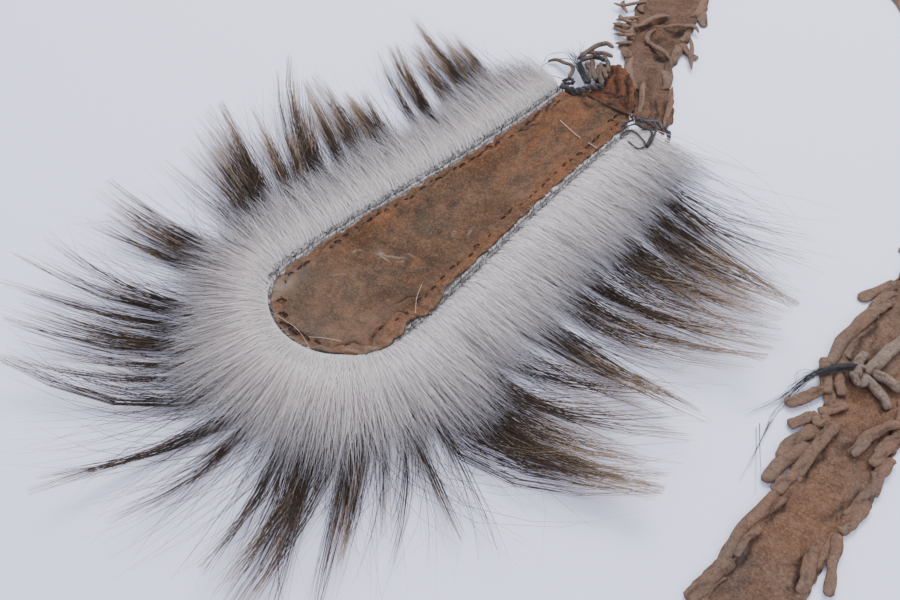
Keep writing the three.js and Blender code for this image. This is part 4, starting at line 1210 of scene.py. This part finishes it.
# Folds that show in the strap: as in BASE_FOLDS
STRAP_FOLDS = [
    (-24, 100, 78, 17, 3.0, 2.1, 1.0), (-8, 92, 60, 12, 2.4, 1.8, 0.9), (-4, 76, 10, 11, 2.4, 1.8, 1.0),
    (-12, 124, 60, 12, 2.2, 1.5, 0.9), (4, 122, 128, 12, 2.0, 1.4, 0.9), (-18, 54, 100, 9, 2.0, 1.3, 0.8),
    (10, 50, 130, 15, 2.2, 1.4, 0.8), (27, 30, 128, 15, 2.0, 1.4, 0.9), (37, 30, 126, 14, 1.8, 1.3, 0.8),
    (-30, 118, 100, 8, 2.0, 1.4, 0.9), (-16, 84, 95, 9, 1.8, 1.2, 0.7), (18, 62, 140, 8, 1.6, 1.1, 0.8),
    (3, 64, 112, 8, 1.6, 1.0, 0.6), (32, 18, 110, 6, 1.6, 1.1, 0.8),
    (226, -20, 5, 9, 2.0, 1.3, 1.0), (243, -100, 60, 6, 1.6, 1.0, 0.9), (280, -190, 108, 10, 2.2, 1.5, 1.0),
    (282, -201, 70, 6, 1.6, 1.1, 1.0), (250, -190, 98, 14, 2.2, 1.4, 1.0), (279, -150, 78, 10, 1.8, 1.2, 1.0),
    (252, -208, 90, 9, 1.8, 1.2, 0.9), (284, -176, 80, 10, 1.7, 1.1, 0.9), (262, -84, 70, 9, 1.6, 1.0, 0.7),
    (240, -60, 90, 10, 1.8, 1.2, 0.8), (234, -44, 100, 8, 1.6, 1.1, 0.7),
]


class HEADDRESS_OT_strap(bpy.types.Operator):
    """The long strap, its rolled edges and the strips of its cut fringe"""
    bl_idname = "headdress.strap"
    bl_label = "Fringed strap"

    def execute(self, context):
        hide = context.scene.headdress_hide
        finish = suede("strap suede", hide.strap_color, hide.strap_patch, hide.strap_stain,
                       hide.grain * 1.3, 42)
        seen_root, hidden, seen_side = STRAP_ROWS
        run = np.concatenate([np.linspace(0, 0.16, seen_root), np.linspace(0.16, 0.76, hidden)[1:],
                              np.linspace(0.76, 1, seen_side)[1:]])
        place, ahead, side = TAIL.at(run)
        s = run * TAIL_LENGTH
        lane = np.sin(np.linspace(-math.pi / 2, math.pi / 2, STRAP_LANES))
        rounded = np.sqrt(1 - np.clip(1 - (s + 2) / 15, 0, 1) ** 2)
        half = strap_half(run) * rounded
        scallop = [1.3 * ripple(s, 0 * s, 24, 60 + k) + 0.9 * ripple(s, 0 * s, 8, 62 + k) for k in (0, 1)]
        reach = half[:, None] * lane[None]
        ragged = np.where(lane[None] > 0, scallop[0][:, None], -scallop[1][:, None]) * np.abs(lane[None]) ** 3
        reach = reach + ragged * rounded[:, None]
        flat = place[:, None] + side[:, None] * reach[..., None]
        torn = 2.4 * ripple(reach, 0 * reach, 9, 59) * (1 - smooth(s, 0, 16))[:, None]
        flat = flat + ahead[:, None] * torn[..., None]
        x, y = flat[..., 0], flat[..., 1]
        edge = np.abs(lane[None]) ** 4
        wave = 0.5 + 0.5 * ripple(s[:, None] + 0 * reach, reach, 34, 66)
        loose = smooth(run, 0.06, 0.12)[:, None]
        floor = LEATHER * 0.42 * edge * np.clip(wave, 0, 1.3) * loose
        wrinkle = 0.8 * ripple(x, y, 34, 69) + 0.5 * ripple(x, y, 15, 67) + 0.28 * ripple(x, y, 6.5, 68)
        height, crease = folds_at(x, y, STRAP_FOLDS)
        thickness = np.maximum(0.7, LEATHER + wrinkle + 1.4 * height)
        top = floor + thickness * (0.4 + 0.6 * np.sqrt(1 - np.abs(lane[None]) ** 14))
        # Painted shade: a dark slit inside each edge where it lifts, and in the listed hollows.
        slit = np.exp(-((np.abs(reach) - half[:, None] + 6) / 0.8) ** 2) * smooth(wave, 0.6, 0.9)
        hollow = np.maximum(streaks_at(x, y, HOLLOWS), 0.8 * slit)
        # Painted shade: the strap darker where it lies behind the base than along its length beside the hair.
        shade = 0.32 * smooth(y, -30, 20)
        marks = {"edge": edge + 0 * x, "crease": np.maximum(np.maximum(0.9 * crease, hollow), shade),
                 # Paler along the edges where they lift.
                 "worn": 0.25 * edge * np.clip(wave, 0, 1)}
        sheet = slab("strap_hide", raised(flat, floor), raised(flat, top - 0.7 * hollow), finish, marks)
        lips = leather_runs("strap_lips", LIPS, finish, 76, 0.35, 0.6)
        strips = leather_runs("side_fringe", SIDE_FRINGE, finish, 77, 0.85, 0.46)
        for piece in (sheet, lips, strips, self.fringe(finish), self.rolled_edges(finish)):
            settle(piece, "strap_buckskin", "tail_strap")
        return {"FINISHED"}

    def fringe(self, finish):
        """The cut strips, those that show and the plain ones between them."""
        table = np.concatenate([rows(SEEN_FRINGE), plain_fringe()])
        index = np.arange(len(table))[:, None]
        share, lane, splay, length, heading = table.T
        place, ahead, side = TAIL.at(share)
        root = place + side * (strap_half(share) * lane)[:, None]
        away = turned(ahead * heading[:, None], -splay * np.sign(lane) * heading)
        across = turned(away, np.full(len(table), 90.0))
        t = np.linspace(0, 1, FRINGE_STEPS)[None]
        bend = (2.6 * wobble(index + 0.7) * np.sin(t * math.pi * 0.8) * t
                + 0.8 * np.sin(7 * t + 2 * index) * t)
        run = t * (length * FRINGE_LENGTH)[:, None]
        centres = root[:, None] + away[:, None] * run[..., None] + across[:, None] * bend[..., None]
        reach = np.abs(lane[:, None]) * STRAP_WIDTH / 2 + run * np.sin(np.radians(splay))[:, None]
        over = 1 - smooth(reach - STRAP_WIDTH / 2, -3, 2)
        floor = 0.15 + 0.85 * LEATHER * over
        breadth = FRINGE_WIDTH / 2 * np.interp(t, [0, 0.3, 0.8, 1], [0.85, 1.05, 1.1, 0.85])
        breadth = breadth * (1 + 0.16 * np.sin(t * 8 + index) + 0.12 * wobble(index))
        height = (0.95 * LEATHER + 0.6) / 2 * (0.85 + 0.2 * np.sin(t * 6 + index))
        seam = 0.9 * wobble(index + 5) + 0 * t
        across = np.broadcast_to(across[:, None], centres.shape)
        return rolled_strips("strap_fringe", centres, across, breadth, height, floor, seam, finish)

    def rolled_edges(self, finish):
        """Edges of the strap that have rolled over by wear, one short length after another."""
        rng = np.random.default_rng(63)
        starts, lengths, sides = [], [], []
        for hand in (-1, 1):
            at = 0.04
            while at < 0.98:
                length = rng.uniform(18, 46) / TAIL_LENGTH
                starts.append(at)
                lengths.append(min(length, 0.995 - at))
                sides.append(hand)
                at += length * 1.02 + rng.uniform(2, 16) / TAIL_LENGTH
        t = np.linspace(0, 1, EDGE_STEPS)[None]
        share = rows(starts)[:, None] + rows(lengths)[:, None] * t
        hand = rows(sides)[:, None]
        place, ahead, side = TAIL.at(share)
        s = share * TAIL_LENGTH
        inset = 2.4 + 0.6 * ripple(s, hand * 40, 30, 64) + rng.uniform(-0.8, 1.2, (len(starts), 1))
        inset = inset + 2.6 * (2 * t - 1) ** 4
        centres = place + side * (hand * (strap_half(share) - inset))[..., None]
        breadth = np.maximum(3.1 + 0.45 * ripple(s, hand * 90, 30, 65), 1.4)
        height = np.clip(0.95 + 0.25 * ripple(s, hand * 70, 26, 69), 0.6, 1.4)
        floor = LEATHER * 0.62 * np.ones_like(breadth)
        seam = np.broadcast_to(hand * -0.9 + 0.3, breadth.shape)
        return rolled_strips("strap_edges", centres, side, breadth, height, floor, seam, finish)


def over_tail(x, y):
    """How high a piece lies at a point: on the surface or on the strap."""
    shares = np.linspace(0, 0.2, 61)
    place, _, _ = TAIL.at(shares)
    gap = np.hypot(x[..., None] - place[:, 0], y[..., None] - place[:, 1])
    inside = (strap_half(shares) - gap).max(-1)
    return (LEATHER + 1.5 * CLEARANCE) * smooth(inside, -10, -5)


# Flap corners, across and along: shares of the tab's half width and of the flap's length
FLAP_ROWS = [
    [(-0.62, -0.2), (-0.1, -0.2), (0.45, -0.16), (1.02, -0.1)],
    [(-0.98, 0.3), (-0.3, 0.28), (0.35, 0.24), (0.9, 0.2)],
    [(-1.25, 0.7), (-0.6, 0.68), (-0.05, 0.62), (0.5, 0.52)],
    [(-1.45, 1), (-1.1, 1.1), (-0.5, 1.04), (-0.02, 0.86)],
]
FLAP_LENGTH = 0.72 * STRAP_WIDTH
# Folds of the flap: as in BASE_FOLDS, with painted shade in their creases
FLAP_FOLDS = [
    (8, 30, 125, 18, 2.8, 2.8, 1), (-3, 33, 128, 15, 2.8, 2.0, 0.75), (-2, 16, 10, 16, 2.4, 1.8, 1),
    (-12, 36, 112, 12, 2.6, 1.6, 0.7), (-9, 26, 108, 9, 2.4, 1.2, 0.5), (13, 22, 130, 9, 1.8, 1.2, 0.8),
]


class HEADDRESS_OT_flap(bpy.types.Operator):
    """The gathered flap that joins the strap to the base"""
    bl_idname = "headdress.flap"
    bl_label = "Strap root"

    def execute(self, context):
        hide = context.scene.headdress_hide
        corners = rows(FLAP_ROWS) * [0.74 * BACK_WIDTH / 2, FLAP_LENGTH] + [0, BACK_TAB + CLEARANCE]
        grid = resampled_grid(corners, *FLAP_GRID)
        down, across = (np.minimum(np.arange(n), np.arange(n)[::-1]) for n in FLAP_GRID)
        rim = np.minimum.outer(down, across)
        free = np.clip(1 - rim / 6, 0, 1) * (np.arange(FLAP_GRID[0]) > 4)[:, None]
        x, y = grid[..., 0], grid[..., 1]
        grid = grid + free[..., None] * 0.9 * np.stack([ripple(x, y, 7, 72 + k) for k in (0, 1)], -1)
        x, y = grid[..., 0], grid[..., 1]
        on_base = (LEATHER + RIM_FLOOR * (1 - smooth(y, 1, 0.7 * BACK_TAB)) + 0.6) * (1 - smooth(y, 12, 18))
        floor = np.maximum(over_tail(x, y), on_base)
        height, crease = folds_at(x, y, FLAP_FOLDS)
        thickness = LEATHER + height + 0.35 * ripple(x, y, 9, 71) + 0.15 * ripple(x, y, 4, 74)
        top = floor + np.maximum(0.8, thickness)
        top = floor + (top - floor) * (0.45 + 0.55 * np.clip(rim / 3, 0, 1))
        finish = suede("root suede", hide.root_color, (0.1, 0.038, 0.018), (0.05, 0.027, 0.017),
                       hide.grain, 75)
        marks = {"crease": crease, "worn": 0.25 * np.clip(1 - rim / 3, 0, 1)}
        settle(slab("root_flap_hide", raised(grid, floor), raised(grid, top), finish, marks),
               "red_buckskin", "strap_root_flap")
        return {"FINISHED"}


def resampled_grid(corners, down, across):
    """A smooth grid of points through a small grid of corners."""
    lines = np.stack([resampled(centripetal(row, 12), across) for row in corners])
    return np.stack([resampled(centripetal(lines[:, j], 12), down) for j in range(across)], axis=1)


# Ties: runs of thong or cord through chosen points, [diameter, points, tone], in the base's own frame
FAR_THONGS = [
    (3.0, [(-57, 19, 2), (-53, 22, 3.4), (-46, 22, 5.4), (-39, 21, 7), (-34, 17, 7.4), (-30, 8, 7)]),
    (4.2, [(-39, 29, 8), (-39, 35, 8.6), (-39, 44, 8.6), (-38, 54, 7.4), (-37, 59, 6), (-32, 60, 4)]),
    (3.4, [(-42, 36, 7.6), (-36, 42, 7.6), (-31, 48, 6.4), (-26, 52, 4)]),
    (3.6, [(-37, 29, 7.4), (-34, 36, 8), (-29, 40, 8), (-24, 42, 7)]),
    (4.2, [(-31, 35, 8), (-26, 28, 8), (-17, 20, 7)]),
    (3.8, [(-25, 36, 8), (-20, 28, 8), (-11, 20, 7)]),
    (3.4, [(-33, 30, 8), (-24, 24, 7.6), (-19, 15, 6.6)]),
    (4.0, [(-25, 32, 8), (-19, 32, 8), (-13, 27, 7)]),
    (3.4, [(-30, 46, 6), (-25, 44, 6), (-20, 38, 6.4), (-16, 34, 6)]),
]
FAR_CORDS = [
    (4.0, [(-31, 1, 6), (-25, 1, 7), (-19, 3, 7.4), (-15, 9, 7.8), (-11, 15, 8), (-8, 18, 8)], 0.75),
    (3.2, [(-26, 1, 5), (-19, 1, 6), (-15, 5, 7)], 0.85),
    (3.0, [(-32, 37, 9.4), (-29, 38, 10), (-24, 39, 9)], 0.9),
    (2.6, [(-30, 3, 7), (-24, 6, 9), (-28, 8, 9), (-32, 4, 7)], 0.9),
]
FAR_THREAD = [
    (0.5, [(-42, 27, 7), (-50, 24, 5), (-56, 12, 2.4), (-52, 7, 1.8), (-40, 8, 4), (-33, 7, 6.6)], 0.9),
    (0.4, [(-38, 24, 7), (-52, 31, 5), (-60, 24, 3), (-58, 15, 2.4)], 0.9),
]
NEAR_CORDS = [
    (2.1, [(26, -6, 8), (27, 1, 9), (32, 7, 10), (39, 11, 10), (45, 12, 9), (51, 11, 7), (55, 6, 5)], 0.85),
    (1.9, [(30, 2, 9), (36, 1, 10), (43, 2, 10.5), (48, -4, 10.5), (50, -12, 10.5)], 0.9),
    (1.8, [(33, 4, 10), (37, 9, 10.5), (43, 8, 10.5), (48, -1, 11), (51, -11, 11)], 0.8),
    (1.6, [(31, -12, 9), (33, -7, 10), (42, -8, 11), (50, -13, 11), (48, -18, 11), (39, -16, 10)], 0.75),
    (1.7, [(25, 5, 8.6), (31, 10, 8.6), (39, 14, 7.6), (46, 12, 6)], 0.85),
    (1.6, [(24, -4, 9), (29, 5, 8.2), (34, 9, 7.4), (40, 10, 6.4)], 0.3),
    (1.4, [(28, -6, 8.8), (33, 0, 10.8), (40, 0, 11.2), (46, 5, 10.2)], 0.8),
    (1.5, [(29, 6, 10), (36, 7, 11), (42, 11, 11), (47, 10, 9)], 0.25),
]
NEAR_ENDS = [
    (3.2, [(50, 12, 7), (53, 9, 6.4), (55, 4, 5)], 0.85),
    (3.0, [(48, -4, 11), (50, -9, 11), (50.5, -13, 11)], 0.95),
]
KNOT_THONGS = [
    (7.0, [(244, -33, 5), (243, -46, 5.6), (242, -58, 6), (241, -70, 6)]),
    (6.2, [(240, -72, 6), (246, -74, 5.6), (255, -77, 5), (261, -81, 4.4)]),
    (6.2, [(243, -67, 6.4), (251, -66, 5.6), (260, -65, 4.6)]),
    (4.6, [(234, -69, 5), (236, -76, 6.4), (242, -79, 7.6), (244, -72, 6.6)]),
    (4.4, [(238, -66, 6), (237, -73, 8), (239, -78, 6)]),
    (5.0, [(233, -56, 4), (234, -64, 5), (235, -70, 5.4)]),
]


def tie_piece(name, runs, finish, seed, plies=1):
    """Runs of thong or cord, each a round strip or a few twisted plies."""
    lines, thick, tones = [], [], []
    run = np.linspace(0, 1, TIE_STEPS)
    for index, (diameter, points, tone) in enumerate(runs):
        line = resampled(centripetal(points, 24), TIE_STEPS)
        ahead = unit(np.gradient(line, axis=0))
        side = unit(np.stack([-ahead[:, 1], ahead[:, 0], 0 * ahead[:, 0]], -1))
        up = np.cross(ahead, side)
        length = np.linalg.norm(np.diff(line, axis=0), axis=1).sum()
        radius, body = (0, diameter) if plies == 1 else (diameter * 0.25, diameter * 0.55)
        for ply in range(plies):
            turn = run * length / (2.1 * diameter) * 2 * math.pi + ply * 2 * math.pi / plies
            off, rise = radius * np.cos(turn), radius * np.sin(turn)
            lines.append(line + side * off[:, None] + up * rise[:, None])
            wear = 1 + 0.14 * ripple(run * length, 0 * run, 7, seed + index + ply)
            thick.append(body * wear * np.interp(run, [0, 0.03, 0.94, 1], [0.8, 1, 1, 0.72]))
            tones.append(np.full(TIE_STEPS, tone) - 0.12 * ply)
    marks = {"tone": np.clip(np.stack(tones), 0, 1)}
    return strands(name, np.stack(lines), np.stack(thick), finish, 9, marks)


def wisps(name, paths, spread, thickness, finish, seed):
    """Fine hairs that follow [how many, points] paths, fanning by spread from the root of each to its tip."""
    rng = np.random.default_rng(seed)
    steps = np.linspace(0, 1, WISP_STEPS)
    lines, thick = [], []
    for count, points in paths:
        line = resampled(centripetal(points, 16), WISP_STEPS)
        for _ in range(count):
            drift = rng.normal(0, 1, 3) * spread * [1, 1, 0.5]
            start = rng.normal(0, 1, 3) * [1, 1, 0.6]
            stop = rng.uniform(0.72, 1.05)
            along = np.stack([np.interp(steps * stop, steps, line[:, i]) for i in range(3)], -1)
            lines.append(along + start * (1 - 0.6 * steps[:, None]) + drift * steps[:, None] ** 1.6)
            thick.append(thickness * rng.uniform(0.7, 1.2) * (1 - 0.7 * steps))
    lines = np.stack(lines)
    lines[..., 2] = np.maximum(lines[..., 2], 0.35)
    tone = rng.uniform(0, 1, (len(lines), 1)) ** 2
    return strands(name, lines, np.stack(thick), finish, 4, {"tone": tone})


# Hair at the far corner and below the strap's knot: [how many hairs, points of their path]
BRISTLES = [
    (50, [(-18, 14, 8), (-24, 17, 9), (-30, 21, 9.6), (-36, 25, 9.8)]),
    (22, [(-18, 14, 8), (-26, 18, 9), (-35, 23, 10), (-46, 31, 10)]),
    (14, [(-18, 14, 8), (-29, 20, 9), (-40, 26, 10), (-54, 30, 9)]),
    (14, [(-18, 14, 8), (-27, 20, 10), (-37, 28, 10), (-48, 43, 9)]),
]
STRAP_TUFT = [
    (34, [(237, -71, 8), (229, -78, 8.6), (224, -85, 7.8), (220, -93, 6), (218, -103, 3.6)]),
    (16, [(237, -71, 8), (229, -78, 8.6), (222, -89, 7), (218, -103, 3.6), (216, -113, 1.6)]),
    (9, [(234, -73, 8), (221, -90, 7), (217, -109, 2), (212, -124, 1), (207, -134, 0.6)]),
    (5, [(234, -73, 8), (221, -92, 6), (219, -108, 2.4), (218, -122, 1), (223, -142, 0.6)]),
    (3, [(234, -73, 8), (222, -88, 7), (213, -92, 4), (219, -98, 2), (233, -108, 4)]),
    (2, [(220, -128, 0.7), (224, -150, 0.7), (228, -174, 0.7)]),
    (2, [(216, -134, 0.7), (229, -152, 0.7), (242, -169, 0.7)]),
]


class HEADDRESS_OT_ties(bpy.types.Operator):
    """Thongs, cords, knots and bristles at the two back corners and on the strap"""
    bl_idname = "headdress.ties"
    bl_label = "Ties and tufts"

    def execute(self, context):
        hide = context.scene.headdress_hide
        pale = suede("pale thong", hide.thong_color, (0.23, 0.165, 0.125), (0.17, 0.13, 0.1), hide.grain, 120)
        dusty = suede("dusty thong", (0.17, 0.12, 0.09), (0.13, 0.075, 0.045), (0.08, 0.065, 0.055),
                      hide.grain, 150)
        dark = twisted("dark cord", (0.17, 0.15, 0.135), (0.03, 0.027, 0.027))
        black = plain_hair("black hair", (0.009, 0.008, 0.009))
        far, near = ("dark_tie", "far_corner_thongs"), ("dark_tie", "near_corner_cords")
        settle(leather_runs("far_thongs", FAR_THONGS, dusty, 80), *far)
        settle(tie_piece("far_cords", FAR_CORDS, dark, 82, 2), *far)
        settle(tie_piece("far_thread", FAR_THREAD, black, 83), *far)
        settle(wisps("far_bristles", BRISTLES, [2.6, 2.6, 1], 0.42, black, 81), *far)
        settle(tie_piece("near_cords", NEAR_CORDS, dark, 84, 2), *near)
        settle(tie_piece("near_cord_ends", NEAR_ENDS, dark, 86), *near)
        settle(leather_runs("strap_thongs", KNOT_THONGS, pale, 88), "pale_thong", "strap_knot_thong")
        tuft = wisps("strap_tuft", STRAP_TUFT, [1.5, 1.5, 0.4], 0.36, black, 90)
        settle(tuft, "black_hair", "strap_hair_tuft")
        return {"FINISHED"}


# Stitches
def stitch_group():
    """Sets a stitch on every point, turned and sized by the point's own numbers."""
    group = Group("stitches", {"Places": "Geometry", "Length": "Float", "Thickness": "Float",
                               "Material": "Material"})
    half = group.given("Length") * 0.61
    arc = {"Resolution": 7, "Radius": half, "Sweep Angle": math.radians(110), "Start Angle": math.radians(35)}
    arc = group.node("GeometryNodeCurveArc", {}, arc, "Curve")
    section = {"Resolution": 6, "Radius": group.given("Thickness")}
    section = group.node("GeometryNodeCurvePrimitiveCircle", {}, section, "Curve")
    body = {"Curve": arc, "Profile Curve": section, "Fill Caps": True}
    body = group.node("GeometryNodeCurveToMesh", {}, body)
    body = group.node("GeometryNodeTransform", {}, {"Geometry": body, "Rotation": (math.pi / 2, 0, 0)})
    low = group.node("ShaderNodeCombineXYZ", {}, {"Z": half * -0.5})
    body = group.node("GeometryNodeTransform", {}, {"Geometry": body, "Translation": low})
    tilt = group.node("ShaderNodeCombineXYZ", {}, {"Z": group.own("turn")})
    points = group.node("GeometryNodeMeshToPoints", {}, {"Mesh": group.given("Places")})
    copies = {"Points": points, "Instance": body, "Rotation": tilt, "Scale": group.own("size")}
    return group.finished(group.node("GeometryNodeInstanceOnPoints", {}, copies))


STITCH_LENGTH = 3.6
STITCH_THICKNESS = 0.4

# Larger stitches where the nose was mended: [x, y, heading, size]
NOSE_STITCHES = [
    (-14, -258, 30, 1.5), (-8, -262, 15, 1.6), (-1, -262, 5, 1.8), (8, -260, -8, 1.4), (-22, -252, 45, 1.4),
    (16, -258, -15, 1.2), (4, 10, 20, 1.4), (15, 4, 80, 1.5), (15, -3, 70, 1.2),
]


class HEADDRESS_OT_stitches(bpy.types.Operator):
    """Dark running stitches all round the base and the larger ones at its nose"""
    bl_idname = "headdress.stitches"
    bl_label = "Stitches"

    def execute(self, context):
        hide = context.scene.headdress_hide
        rng = np.random.default_rng(55)
        count = int(RIM_LENGTH / hide.stitch_spacing)
        share = (np.arange(count) + 0.5 + rng.uniform(-0.35, 0.35, count)) / count
        share = share[rng.uniform(0, 1, count) > 0.16]
        count = len(share)
        place, out = rim_at(share)
        place = place - out * (seam_inset(share, hide.stitch_inset) + rng.uniform(-0.5, 0.5, count))[:, None]
        ahead = turned(out, 90)
        turn = np.arctan2(ahead[:, 1], ahead[:, 0]) + rng.normal(0, 0.3, count)
        size = rng.uniform(0.6, 1.25, count)
        extra = rows(NOSE_STITCHES)
        place = np.concatenate([place, extra[:, :2]])
        turn = np.r_[turn, np.radians(extra[:, 2])]
        size = np.r_[size, extra[:, 3]]
        floor, share, reach = base_floor(place)
        thickness, _ = hide_top(place[:, 0], place[:, 1], floor, reach, share, hide.stitch_inset)
        level = floor + thickness
        thread = Finish("stitch thread", 0.8, Specular_IOR_Level=0.2)
        dye = [(0.3, (0.012, 0.008, 0.006)), (0.7, (0.06, 0.035, 0.022))]
        thread.color(thread.ramp(thread.noise(thread.place(), 700, 2), dye))
        places = new_mesh("stitch_places", raised(place, level), [], [], {"turn": turn, "size": size})
        inputs = {"Length": STITCH_LENGTH * MM, "Thickness": STITCH_THICKNESS * MM,
                  "Material": thread.material}
        settle(grown("running_stitches", places, stitch_group(), inputs), "base_buckskin")
        return {"FINISHED"}


# Stage, in metres: how far the floor reaches, the light all round, and lamps of [name, place, watts, size]
FLOOR_REACH = 4.0
SKY_COLOR = (0.9, 0.925, 1.19, 1)
SKY_STRENGTH = 1.04
LAMPS = (("key", (-0.5, 0.9, 1.6), 36, 1.1), ("fill", (1.2, -0.6, 1.5), 9, 1.6))


class HEADDRESS_OT_stage(bpy.types.Operator):
    """Camera at the photograph's angle, pale floor and soft light"""
    bl_idname = "headdress.stage"
    bl_label = "Stage"

    def execute(self, context):
        stage = context.scene.headdress_stage
        data = bpy.data.cameras.new("camera")
        data.lens, data.sensor_width = CAMERA_LENS, CAMERA_SENSOR
        data.clip_start = 0.01
        camera = link(bpy.data.objects.new("camera", data))
        camera.location = np.array(CAMERA_PLACE) * MM + ORIGIN
        camera.rotation_euler = (math.radians(90 - CAMERA_ELEVATION), 0, math.radians(CAMERA_AZIMUTH))
        context.scene.camera = camera
        floor = bpy.data.meshes.new("floor")
        corners = [(x * FLOOR_REACH, y * FLOOR_REACH, 0) for x, y in ((-1, -1), (1, -1), (1, 1), (-1, 1))]
        floor.from_pydata(corners, [], [(0, 1, 2, 3)])
        made = Finish("pale surface", 0.75, Specular_IOR_Level=0.2)
        made.shader.inputs["Base Color"].default_value = (*stage.floor_color, 1)
        floor.materials.append(made.material)
        link(bpy.data.objects.new("floor", floor))
        world = bpy.data.worlds.new("soft studio")
        world.use_nodes = True
        sky = world.node_tree.nodes["Background"].inputs
        sky["Color"].default_value = SKY_COLOR
        sky["Strength"].default_value = SKY_STRENGTH * stage.light
        context.scene.world = world
        for name, place, power, size in LAMPS:
            light = bpy.data.lights.new(name, "AREA")
            light.energy, light.size = power * stage.light, size
            lamp = link(bpy.data.objects.new(name, light))
            lamp.location = Vector(place)
            lamp.rotation_euler = (-Vector(place)).to_track_quat("-Z", "Y").to_euler()
        return {"FINISHED"}


class HEADDRESS_PT_panel(bpy.types.Panel):
    bl_idname = "HEADDRESS_PT_panel"
    bl_label = "Roach headdress"
    bl_space_type = "VIEW_3D"
    bl_region_type = "UI"
    bl_category = "Headdress"

    def draw(self, context):
        layout = self.layout
        for group in ("headdress_hide", "headdress_hair", "headdress_stage"):
            settings = getattr(context.scene, group)
            box = layout.box()
            for name in settings.__annotations__:
                box.prop(settings, name)
        for operator in OPERATORS:
            layout.operator(operator.bl_idname)


SETTINGS = {"headdress_hide": HideSettings, "headdress_hair": HairSettings, "headdress_stage": StageSettings}
OPERATORS = (
    HEADDRESS_OT_stage, HEADDRESS_OT_base, HEADDRESS_OT_cords, HEADDRESS_OT_stitches, HEADDRESS_OT_white_hair,
    HEADDRESS_OT_dark_hair, HEADDRESS_OT_strap, HEADDRESS_OT_flap, HEADDRESS_OT_ties,
)


def register():
    for kind in (*SETTINGS.values(), *OPERATORS, HEADDRESS_PT_panel):
        bpy.utils.register_class(kind)
    for name, kind in SETTINGS.items():
        setattr(bpy.types.Scene, name, PointerProperty(type=kind))


def unregister():
    for name in SETTINGS:
        delattr(bpy.types.Scene, name)
    for kind in (HEADDRESS_PT_panel, *OPERATORS[::-1], *SETTINGS.values()):
        bpy.utils.unregister_class(kind)


def main():
    register()
    for operator in OPERATORS:
        family, name = operator.bl_idname.split(".")
        getattr(getattr(bpy.ops, family), name)()
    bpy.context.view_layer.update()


if __name__ == "__main__":
    main()
